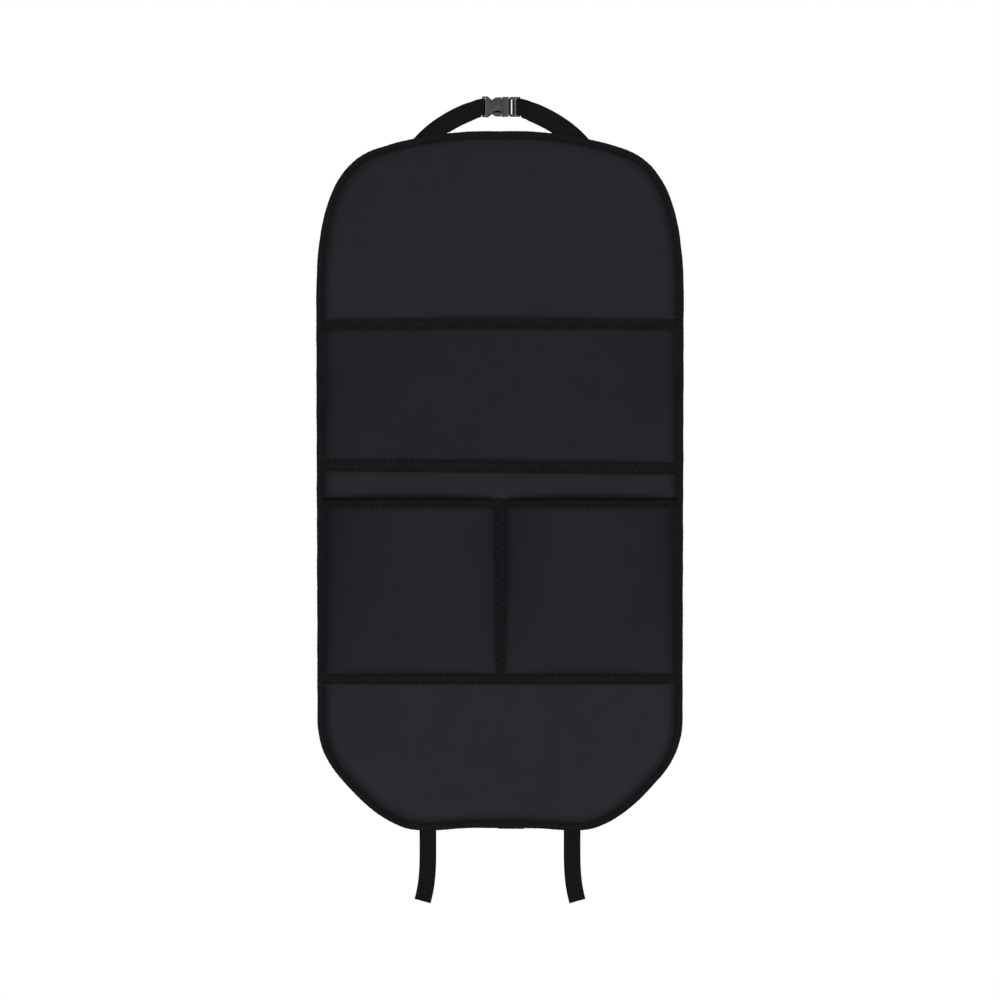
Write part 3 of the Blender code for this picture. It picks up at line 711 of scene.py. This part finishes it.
def build_mouth_binding(pocket):
    """The tape folded over the mouth, pressed down along its stitches."""
    depths, heights, runs, outer = fold_section(MOUTH_TAPE_WIDTH, MOUTH_STITCH, MOUTH_FOLD_HEIGHT)
    side = half_width(pocket.mouth) - BINDING_WIDTH + TUCK
    x = np.linspace(-side, side, round(2 * side / EDGE_PITCH) + 1)
    run = x + side
    holes = np.zeros((len(x), len(depths)))
    rings = np.zeros((*holes.shape, 3))
    for j, (depth, height) in enumerate(zip(depths, heights)):
        edge = 0.00014 * np.sin(run / STITCH_PITCH * 2 * math.pi) if depth > 0.009 or depth < 0.0005 else 0
        z = pocket.mouth_at(x) - depth + edge
        up = np.full(len(x), height)
        if j < outer:
            near = bell(depth - MOUTH_STITCH, 0.0011)
            # Needle holes along the stitch line: they dimple the tape and paint near-black shade into it.
            holes[:, j] = near * pinch(run, STITCH_PITCH)
            up -= np.sign(height) * (0.0001 * near + 0.00036 * holes[:, j])
            open_mouth = np.maximum(0, 1 - pocket.near_seams(x, 0.010))
            # Painted shade along the top of the fold, fading out beside the divider: near-black mixed into
            # the tape's colour.
            holes[:, j] += pocket.fold_painted_shade * (1 - smooth((depth - 0.0019) / 0.0016)) * open_mouth
        rings[:, j] = np.stack([x, -pocket.middle(x, z) + up, z], axis=1)
    return loft(pocket.name + "_folded_binding", rings, run, runs, TAPE_CLOTH, holes)


def build_mouth_threads(pocket, turn):
    """The binding's lock stitch: turn is -1 for the row in front and 1 for the row inside the pocket."""
    side = half_width(pocket.mouth) - BINDING_WIDTH
    holes = np.arange(-side, side, STITCH_PITCH)
    z = pocket.mouth_at(holes) - MOUTH_STITCH
    y = -pocket.middle(holes, z) + turn * (MOUTH_FOLD_HEIGHT - 0.00022)
    name = pocket.name + "_mouth_threads_" + ("front" if turn < 0 else "inside")
    return threads(name, list(zip(holes, y, z)), (0, turn, 0))


def zigzag_holes(across, run, reach):
    """1 at each hole of a zigzag that swings by the reach to both sides, falling to 0 around it."""
    low = bell(across + reach, 0.0009) * pinch(run, ZIGZAG_PITCH)
    return low + bell(across - reach, 0.0009) * pinch(run + ZIGZAG_PITCH / 2, ZIGZAG_PITCH)


def band(name, centres, acrosses, ups, width, thickness, finish, crown=0.0, zigzag=None):
    """A flat woven band along a path, with round selvedges and a slight crown. Zigzag is the run of its
    seam at each point and the seam's reach, for its dimples and the painted shade in its holes."""
    places = np.array([0.4, 0.66, 0.75, 0.84, 0.93, 0.985, 1])
    places = np.concatenate((-places[::-1], [0], places))
    rise = np.interp(np.abs(places), (0.84, 0.93, 0.985, 1), (1, 0.95, 0.6, 0)) * thickness / 2
    bow = crown * (1 - places ** 2)
    across = np.concatenate((places, places[-2:0:-1])) * width / 2
    lift = np.concatenate((rise + bow, (bow - rise)[-2:0:-1]))
    rings = centres[:, None] + acrosses[:, None] * across[:, None] + ups[:, None] * lift[:, None]
    holes = None
    if zigzag:
        # The zigzag's holes dimple the band and paint near-black shade into it.
        holes = zigzag_holes(across, zigzag[0][:, None], zigzag[1])
        rings = rings - ups[:, None] * 0.0004 * holes[..., None]
    return loft(name, rings, run_along(centres), across, finish, holes)


def facing(acrosses, centres):
    """The direction out of a band's face at each point of its path."""
    return unit(np.cross(acrosses, np.gradient(centres, axis=0)))


def hem_tape_front(pocket, x, z):
    return pocket.front(x, np.minimum(z, pocket.hem_top(x))) + TAPE_STAND


def build_hem_tape(pocket):
    side = half_width(pocket.hem) - BINDING_WIDTH + TUCK
    x = np.linspace(-side, side, round(2 * side / EDGE_PITCH) + 1)
    z = pocket.hem_at(x)
    y = -(pocket.front(x, z) + TAPE_STAND / 2)
    fall = math.atan(pocket.hem_fall / (2 * MAT_SIDE))
    acrosses = np.tile([math.sin(fall), 0, math.cos(fall)], (len(x), 1))
    seam = np.arange(len(x)) * (x[1] - x[0]) - TUCK, pocket.hem_width / 2 - HEM_STITCH_INSET
    return band(pocket.name + "_flat_tape", np.stack([x, y, z], axis=1), acrosses,
                np.tile([0, -1.0, 0], (len(x), 1)), pocket.hem_width, TAPE_STAND, TAPE_CLOTH, 0.0002, seam)


def build_hem_threads(pocket, turn):
    """The hem's zigzag: turn is -1 for the tape in front and 1 for the backing cloth behind the mat."""
    side = half_width(pocket.hem) - BINDING_WIDTH
    reach = pocket.hem_width / 2 - HEM_STITCH_INSET
    holes = np.arange(-side, side, ZIGZAG_PITCH / 2)
    z = pocket.hem_at(holes) + reach * np.where(np.arange(len(holes)) % 2, 1, -1)
    y = np.full(len(holes), -BACK_SKIN) if turn > 0 else -(hem_tape_front(pocket, holes, z) - 0.0001)
    name = pocket.name + "_hem_threads_" + ("front" if turn < 0 else "back")
    return threads(name, list(zip(holes, y, z)), (0, turn, 0))


def dress_pocket(pocket):
    """The pieces that both pockets have, each in place of its node."""
    sheet = place_sewn(build_sheet(pocket))
    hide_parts(pocket.name + "_panel")
    mouth = place_sewn(build_mouth_binding(pocket))
    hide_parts(pocket.name + "_top_binding")
    hem = place_sewn(build_hem_tape(pocket))
    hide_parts(pocket.name + "_bottom_tape")
    for build in (build_mouth_threads, build_hem_threads):
        for turn in (-1, 1):
            place_sewn(build(pocket, turn))


upper = Pocket("upper_pocket", UPPER_MOUTH, UPPER_HEM, UPPER_HEM_WIDTH, UPPER_HEM_FALL, UPPER_ARCH)
dress_pocket(upper)

# The lower sheet serves two pockets. A vertical tape pins its middle to the mat, from under the hem
# tape up over the mouth's binding, with one line of zigzag stitches.
MOUTH_DIP = 0.0014
# How strongly painted shade darkens the top of the lower pockets' mouth fold.
MOUTH_FOLD_PAINTED_SHADE = 0.75
DIVIDER_OVER = 0.0050
DIVIDER_STITCH = 0.0019
lower = Pocket("lower_pocket", LOWER_MOUTH, LOWER_HEM, LOWER_HEM_WIDTH, 0, LOWER_ARCH, [DIVIDER_X], MOUTH_DIP,
               MOUTH_FOLD_PAINTED_SHADE)
dress_pocket(lower)


def build_divider():
    """The divider's path runs up the sheet, out over the binding and down behind its fold."""
    top, low = lower.mouth_at(DIVIDER_X), lower.hem_top(DIVIDER_X) - 0.003
    path = []
    for z in np.linspace(low, top - MOUTH_TAPE_WIDTH - 0.001, 120):
        path.append((-lower.front(DIVIDER_X, z) - TAPE / 2, z))
    middle = -lower.middle(DIVIDER_X, top - 0.004)
    stand = MOUTH_FOLD_HEIGHT + TAPE / 2 + 0.0001
    path += [(middle - stand + 0.0002, top - MOUTH_TAPE_WIDTH + 0.0012), (middle - stand, top - 0.006)]
    for turn in np.linspace(-90, 90, 9):
        angle = math.radians(turn)
        path.append((middle + stand * math.sin(angle), top - MOUTH_FOLD_HEIGHT + stand * math.cos(angle)))
    path.append((middle + stand, top - MOUTH_FOLD_HEIGHT - DIVIDER_OVER))
    path, _ = evenly(path, 0.0008)
    centres = np.stack([np.full(len(path), DIVIDER_X), path[:, 0], path[:, 1]], axis=1)
    acrosses = np.tile([1.0, 0, 0], (len(centres), 1))
    seam = centres[:, 2] - low - 0.003, DIVIDER_STITCH
    return band("divider_flat_tape", centres, acrosses, -facing(acrosses, centres), DIVIDER_WIDTH, TAPE,
                TAPE_CLOTH, 0.0001, seam)


def build_divider_threads(turn):
    """The divider's zigzag: turn is -1 for the tape in front and 1 for the backing cloth."""
    low, high = lower.hem_top(DIVIDER_X), lower.mouth_at(DIVIDER_X) - 0.002
    zs = np.arange(low, high, ZIGZAG_PITCH / 2)
    x = DIVIDER_X + DIVIDER_STITCH * np.where(np.arange(len(zs)) % 2, 1, -1)
    over = smooth((zs - LOWER_MOUTH + MOUTH_TAPE_WIDTH + 0.002) / 0.002) * 0.0013
    y = -(lower.front(np.full(len(zs), DIVIDER_X), zs) + TAPE - 0.0001 + over)
    if turn > 0:
        y = np.full(len(zs), -BACK_SKIN)
    return threads("divider_threads_" + ("front" if turn < 0 else "back"), list(zip(x, y, zs)), (0, turn, 0))


divider = place_sewn(build_divider())
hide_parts("divider_tape")
for turn in (-1, 1):
    place_sewn(build_divider_threads(turn))

# The headrest strap is two lengths of black polyester webbing. Each is sewn behind the top binding,
# passes round a bar of the buckle, and its end is folded back behind it and bar tacked.
WEBBING = 0.0012
WEBBING_WIDTH = 0.0168
WEBBING_SPREAD = 0.075
WEBBING_SAG = 0.0007
STRAP_Y = MIDDLE_Y + 0.0027
BUCKLE = Vector((0.00125, MIDDLE_Y, MAT_TOP + 0.0243))
BUCKLE_HALF_LENGTH = 0.01925
BAR_HEIGHT = BUCKLE.z - 0.0003
BAR = 0.0020
PLUG_BAR_WIDTH = 0.0031
STRAP_SPREAD = 0.0820
STRAP_END_RUN = 0.0037
WRAP = BAR / 2 + 0.0004 + WEBBING / 2
TACK_FROM_END = 0.0040
HANG_RUN = 0.0060
LEFT_FOLD, LEFT_DRIFT, LEFT_HANG = 0.0420, 0.0006, 0.0011
RIGHT_FOLD, RIGHT_DRIFT, RIGHT_HANG = 0.0480, 0.0016, 0.0019
WEBBING_CLOTH = woven_finish("polyester_webbing", (0.0014, 0.0014, 0.0016), (0.0118, 0.0118, 0.0124), 0.0017,
                             0.0028, 0.00025)


def strap_stations(side, bar_width, folded, drift, hang):
    """The strap's middle line, the direction across it there, and how far its front run is from the bar.
    The part folded back drifts lower away from the buckle and hangs lower beside it."""
    edge = edge_height(BUCKLE.x + side * STRAP_SPREAD, True)
    start = (STRAP_SPREAD, edge - BINDING_WIDTH + 0.0006)
    end = (BUCKLE_HALF_LENGTH + STRAP_END_RUN, BUCKLE.z - 0.0011)
    handles = ahead(start, 130, 0.0320), ahead(end, -14, 0.0070)
    flat, run = evenly(bezier(start, *handles, end, 160), 0.0010)
    way = unit(np.gradient(flat, axis=0))
    left = np.stack([-way[:, 1], way[:, 0]], axis=1)
    to_bar = run[-1] - run + STRAP_END_RUN
    left *= (1 + WEBBING_SPREAD * smooth((to_bar - 0.003) / 0.014))[:, None]
    sunk = flat[:, 1] - WEBBING_SAG * smooth((to_bar - 0.002) / 0.008)
    front, back = BUCKLE.y - WRAP, BUCKLE.y + WRAP
    paired = back - WEBBING - 0.0003
    near = front + (paired - front) * smooth(to_bar / 0.0090)
    depth = near + (STRAP_Y - near) * smooth((to_bar - folded) / 0.0300)
    points = list(zip(flat[:, 0], depth, sunk))
    wide = [(w[0], 0, w[1]) for w in left]

    def pass_bar(places, depth, hang):
        for x in places:
            share = smooth((flat[-1, 0] - x) / STRAP_END_RUN)
            low = sunk[-1] + (BAR_HEIGHT - sunk[-1]) * share - hang * (1 - share) ** 0.6
            points.append((x, depth, low))
            lean = left[-1] * (1 - share) + np.array([0, -1.0]) * share
            wide.append((lean[0], 0, lean[1]))

    bar = BUCKLE_HALF_LENGTH - bar_width + BAR / 2
    places = np.linspace(flat[-1, 0], bar, 8)
    pass_bar(places[1:], front, 0)
    for turn in np.linspace(0, math.pi, 14)[1:]:
        points.append((bar - WRAP * math.sin(turn), BUCKLE.y - WRAP * math.cos(turn), BAR_HEIGHT))
        wide.append((0, 0, -1.0))
    pass_bar(places[-2:0:-1], back, hang)
    for k in reversed(range(len(flat))):
        if to_bar[k] <= folded:
            low = sunk[k] - drift * smooth((to_bar[k] - STRAP_END_RUN) / 0.008)
            low -= hang * (1 - smooth((to_bar[k] - STRAP_END_RUN) / HANG_RUN))
            points.append((flat[k, 0], max(back, depth[k] + WEBBING + 0.0003), low))
            wide.append((left[k, 0], 0, left[k, 1]))
    turned = np.array([side, 1, 1])
    points = np.array(points) * turned + np.array([BUCKLE.x, 0, 0])
    return points, np.array(wide) * turned, to_bar


def webbing(name, points, wide):
    return band(name, points, wide, facing(wide, points), WEBBING_WIDTH, WEBBING, WEBBING_CLOTH)


def build_tack(name, stations, folded):
    """A bar tack: a short dense zigzag across the strap, through the fold behind it."""
    points, wide, to_bar = stations
    at = int(np.argmin(np.abs(to_bar - (folded - TACK_FROM_END))))
    way = points[at + 1] - points[at]
    way /= np.linalg.norm(way)
    spots = []
    for k, place in enumerate(np.linspace(-0.0066, 0.0066, 20)):
        spot = points[at] + wide[at] * place + way * (0.0011 if k % 2 else -0.0011)
        spots.append(spot + np.array([0, -WEBBING / 2 - 0.0001, 0]))
    return threads(name, spots, (0, -1, 0))


stations = strap_stations(-1, BAR, LEFT_FOLD, LEFT_DRIFT, LEFT_HANG)
left_strap = place_sewn(webbing("webbing_strap_left", *stations[:2]))
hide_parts("headrest_strap_left")
place_sewn(build_tack("webbing_tack_left", stations, LEFT_FOLD))
stations = strap_stations(1, PLUG_BAR_WIDTH, RIGHT_FOLD, RIGHT_DRIFT, RIGHT_HANG)
right_strap = webbing("webbing_strap_right", *stations[:2])
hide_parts("headrest_strap_right")
for piece in (right_strap, build_tack("webbing_tack_right", stations, RIGHT_FOLD)):
    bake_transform(piece)

# The buckle's socket is one moulding of dark grey plastic: a flat case open at its mouth, with a scoop
# in each side where fingers squeeze the plug's arms, and a bar that the left webbing goes round.
SOCKET_LEFT = -BUCKLE_HALF_LENGTH
SOCKET_MOUTH = SOCKET_LEFT + 0.0268
SOCKET_THICKNESS = 0.0070
BUCKLE_HALF = 0.0100
FLARE = 0.0005
SLOT_HALF = 0.0086
MOULDING_CENTRE = Vector((BUCKLE.x, BUCKLE.y, BAR_HEIGHT))
SLOT_END = SOCKET_LEFT + BAR + 0.00165
CAVITY_END = SLOT_END + 0.0022
CAVITY_HALF = BUCKLE_HALF - 0.0019
CAVITY_THICKNESS = 0.0038
SCOOP_END = SOCKET_MOUTH - 0.0062
SCOOP_LENGTH = 0.0148
SCOOP_DEPTH = 0.0047
SCOOP_SHAPE = ((0, 0), (0.10, 0.63), (0.23, 0.94), (0.38, 1.0), (0.54, 0.88), (0.70, 0.63), (0.84, 0.34))
CUT, ADD = "DIFFERENCE", "UNION"
PLASTIC_DARK, PLASTIC_LIGHT = (0.036, 0.035, 0.037), (0.046, 0.045, 0.048)
FRONT_SCOOPS = ((1, 0.0158, 0.0065, -0.0021), (-1, 0.0168, 0.0067, 0))


def plastic_finish(name, shade, gloss):
    """Dark grey moulded plastic: a fine even texture from the mould and a satin face."""
    finish, tree, places = fresh_finish(name)
    place = places["Object"]
    tone = ramp(tree, noise(tree, place, 140, 3), 0.3, 0.7, PLASTIC_DARK, PLASTIC_LIGHT, shade)
    shine = node(tree, "MapRange", {0: noise(tree, place, 500, 2), 3: 0.38, 4: 0.50}).outputs[0]
    skin(tree, tone, shine, gloss, (0.5, 0.00006), noise(tree, place, 3600, 3))
    return finish


GREY_PLASTIC = plastic_finish("grey_plastic", 1.0, 0.30)
# A near-black copy of the grey plastic, used as painted shade in the buckle's recesses.
PAINTED_SHADE_PLASTIC = plastic_finish("grey_plastic_painted_shade", 0.03, 0.02)


def curved(points, steps=6):
    """A smooth line through the points, as a polyline."""
    ends = [points[0]] + list(points) + [points[-1]]
    line = [points[0]]
    for before, start, end, after in zip(ends, ends[1:], ends[2:], ends[3:]):
        out_of = [s + (e - b) / 6 for b, s, e in zip(before, start, end)]
        into = [e - (a - s) / 6 for s, e, a in zip(start, end, after)]
        line += bezier(start, out_of, into, end, steps)[1:]
    return line


def mirrored(points):
    return list(points) + [(x, -z) for x, z in reversed(points)]


def moulded(name, ring, thickness, rounding=0.0, segments=3, forward=0.0):
    """A plate with the outline ring round the buckle's centre, moved forward, its corners rounded off."""
    bpy.ops.object.select_all(action="DESELECT")
    bpy.ops.mesh.primitive_circle_add(vertices=len(ring), radius=1, fill_type="NGON")
    plate = bpy.context.object
    plate.name = name
    for vertex, (x, z) in zip(plate.data.vertices, ring):
        vertex.co = MOULDING_CENTRE + Vector((x, thickness / 2 - forward, z))
    bpy.ops.object.mode_set(mode="EDIT")
    bpy.ops.mesh.select_all(action="SELECT")
    bpy.ops.mesh.extrude_region_move(TRANSFORM_OT_translate={"value": (0, -thickness, 0)})
    bpy.ops.mesh.select_all(action="SELECT")
    bpy.ops.mesh.normals_make_consistent(inside=False)
    bpy.ops.object.mode_set(mode="OBJECT")
    if rounding:
        soften(plate, rounding, segments)
    return plate


def soften(plate, rounding, segments=3):
    reshape(plate, "BEVEL", width=rounding, segments=segments, angle_limit=math.radians(50))


def joined(plate, other, operation):
    """The plate with the other solid cut out of it or added to it."""
    reshape(plate, "BOOLEAN", operation=operation, object=other, solver="EXACT")
    bpy.data.objects.remove(other)


def finish_moulding(plate, body, low, high):
    """The grey plastic, and a near-black copy of it as painted shade on the faces inside the box from low to
    high.
    """
    plate.data.materials.clear()
    plate.data.materials.append(GREY_PLASTIC)
    plate.data.materials.append(PAINTED_SHADE_PLASTIC)
    for face in plate.data.polygons:
        spot = face.center - MOULDING_CENTRE
        inside = all(a <= s <= b for a, s, b in zip(low, spot, high))
        face.material_index = 1 if inside and abs(face.normal.y) > 0.9 else 0
    smoothed(plate.data, 32)
    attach(plate, body)


def with_box(plate, operation, low, high, half, thickness, rounding=0.0, forward=0.0):
    """The plate with a box cut out of it or added to it."""
    ring = [(high, half), (low, half), (low, -half), (high, -half)]
    joined(plate, moulded("box", ring, thickness, rounding, forward=forward), operation)


def build_socket():
    """The case, its two scoops cut right through and wider in front, its slot, cavity and bar."""
    flare = BUCKLE_HALF + FLARE
    scoop = [(SCOOP_END - SCOOP_LENGTH * s, BUCKLE_HALF - SCOOP_DEPTH * d) for s, d in SCOOP_SHAPE]
    upper = [(SOCKET_MOUTH, BUCKLE_HALF - FLARE), (SOCKET_MOUTH - FLARE, BUCKLE_HALF)]
    upper += curved(scoop + [(SCOOP_END - SCOOP_LENGTH, flare)])
    upper += [(SOCKET_LEFT + 2 * FLARE, flare), (SOCKET_LEFT, flare - 2 * FLARE)]
    socket = moulded("grey_buckle_socket", mirrored(upper), SOCKET_THICKNESS, 0.0013, 5)
    for turn, length, depth, floor in FRONT_SCOOPS:
        start = SCOOP_END + 0.0008
        front = [(start - length * s, BUCKLE_HALF + 0.0003 - depth * d) for s, d in SCOOP_SHAPE]
        front = curved(front + [(start - length, flare)])
        lip = [(x, turn * z) for x, z in [(front[0][0], 2 * flare)] + front + [(front[-1][0], 2 * flare)]]
        joined(socket, moulded("notch", lip, SOCKET_THICKNESS, forward=SOCKET_THICKNESS / 2 - floor), CUT)
    soften(socket, 0.0003, 2)
    with_box(socket, CUT, SOCKET_LEFT - BAR, SLOT_END, SLOT_HALF, 2 * SOCKET_THICKNESS)
    with_box(socket, CUT, CAVITY_END, SOCKET_MOUTH + BAR, CAVITY_HALF, CAVITY_THICKNESS, 0.0003)
    with_box(socket, ADD, SOCKET_LEFT, SOCKET_LEFT + BAR, SLOT_HALF + 0.0005, BAR, 0.0007)
    return socket


socket = build_socket()
# Painted shade on the front- and back-facing faces of the cavity's lower half and the lower scoop's notch;
# the upper scoop is left plain.
finish_moulding(socket, "mat", (SOCKET_LEFT + 0.004, -0.0020, -BUCKLE_HALF), (SOCKET_MOUTH, 0.0020, 0.0015))
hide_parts("buckle_socket")

# The plug is one moulding of the same plastic: a frame with a window, a bar for the right webbing, a
# guide prong and two springy arms, whose hooked heads show in the socket's scoops.
PLUG_LEFT = SOCKET_MOUTH + 0.0012
PLUG_RIGHT = BUCKLE_HALF_LENGTH
PLUG_FRAME = 0.0050
CROSSBAR = 0.0011
WINDOW_HALF = 0.0072
WINDOW_END = PLUG_LEFT + CROSSBAR + 0.0011
GROOVE_END = WINDOW_END + 0.0017
MIDDLE_BAR_END = PLUG_RIGHT - 0.00475
GROOVE_DEPTH = 0.0010
FORK_THICKNESS, NECK_THICKNESS, FLANGE_THICKNESS = 0.0032, 0.0034, 0.0040
ARM_WIDTH = 0.0016
ARM_OUT = BUCKLE_HALF - 0.0024
SHOULDER = -0.00045
HEAD_LENGTH = 0.0092
HEAD_STAND = 0.0021
HEAD_SHAPE = ((-0.04, 0), (-0.07, 0.30), (-0.125, 0.86), (-0.04, 0.97), (0.22, 1.0), (0.40, 0.98),
              (0.55, 0.88), (0.72, 0.52), (0.88, 0))
GUIDE_HALF = 0.0012
GUIDE_TIP = PLUG_LEFT - 0.0162


def build_plug():
    """The frame with its window, slot and groove, its bar, and the fork of its two arms and prong."""
    ring = [(PLUG_RIGHT, BUCKLE_HALF - FLARE), (PLUG_RIGHT - FLARE, BUCKLE_HALF), (PLUG_LEFT, BUCKLE_HALF)]
    plug = moulded("grey_buckle_plug", mirrored(ring), PLUG_FRAME)
    with_box(plug, CUT, PLUG_LEFT + CROSSBAR, WINDOW_END, WINDOW_HALF, 2 * PLUG_FRAME)
    with_box(plug, CUT, MIDDLE_BAR_END, PLUG_RIGHT + BAR, SLOT_HALF, 2 * PLUG_FRAME)
    with_box(plug, CUT, WINDOW_END - BAR / 2, GROOVE_END, WINDOW_HALF, PLUG_FRAME,
             forward=PLUG_FRAME - GROOVE_DEPTH)
    soften(plug, 0.0004)
    with_box(plug, ADD, PLUG_RIGHT - PLUG_BAR_WIDTH, PLUG_RIGHT - 0.0005, SLOT_HALF + 0.0005, BAR, 0.0007)
    arm_in, head_in = ARM_OUT - ARM_WIDTH, ARM_OUT - 1.45 * ARM_WIDTH
    tip, crotch, half = SHOULDER - HEAD_LENGTH, PLUG_LEFT - ARM_WIDTH, ARM_WIDTH / 2
    head = curved([(SHOULDER - HEAD_LENGTH * s, ARM_OUT + HEAD_STAND * d) for s, d in HEAD_SHAPE], 4)
    upper = [(PLUG_LEFT + CROSSBAR / 2, ARM_OUT)] + head
    upper += [(tip, head_in + half), (tip + half, head_in), (SHOULDER - ARM_WIDTH, head_in),
              (SHOULDER, arm_in), (crotch - half, arm_in), (crotch, arm_in - half),
              (crotch, GUIDE_HALF + half), (crotch - half, GUIDE_HALF), (GUIDE_TIP + GUIDE_HALF, GUIDE_HALF),
              (GUIDE_TIP, GUIDE_HALF / 2)]
    joined(plug, moulded("fork", mirrored(upper), FORK_THICKNESS, 0.0005), ADD)
    with_box(plug, ADD, crotch + half, PLUG_LEFT + half, ARM_OUT - 0.0001, NECK_THICKNESS)
    with_box(plug, ADD, SOCKET_MOUTH + 0.00025, PLUG_LEFT + half, BUCKLE_HALF - half, FLANGE_THICKNESS)
    return plug


plug = build_plug()
# Painted shade on the front- and back-facing faces of the plug's neck, fork root and groove.
inside = (PLUG_LEFT - ARM_WIDTH, -0.0021, -BUCKLE_HALF), (GROOVE_END, 0.0021, BUCKLE_HALF)
finish_moulding(plug, "plug", *inside)
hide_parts("buckle_plug")

# Two plain webbing tails are sewn behind the bottom binding. They swing a little outwards, and each
# is cut across with a hot knife.
TAIL_X = 0.0722
TAIL_LENGTH = 0.0705


def build_tail(name, side):
    low = edge_height(TAIL_X, False)
    start = (TAIL_X, low + BINDING_WIDTH - 0.0006)
    end = (TAIL_X + 0.0053, low - TAIL_LENGTH)
    handles = ahead(start, -90, TAIL_LENGTH / 2), ahead(end, 106, TAIL_LENGTH / 3)
    flat, run = evenly(bezier(start, *handles, end, 80), 0.0010)
    way = unit(np.gradient(flat, axis=0))
    curl = STRAP_Y - 0.0030 * (run / run[-1]) ** 2
    points = np.stack([side * flat[:, 0], curl, flat[:, 1]], axis=1)
    wide = np.stack([side * -way[:, 1], np.zeros(len(way)), way[:, 0]], axis=1)
    return webbing(name, points, wide)


for side, name in ((-1, "left"), (1, "right")):
    tail = build_tail("webbing_tail_" + name, side)
    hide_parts("bottom_strap_" + name)
    place_sewn(tail)
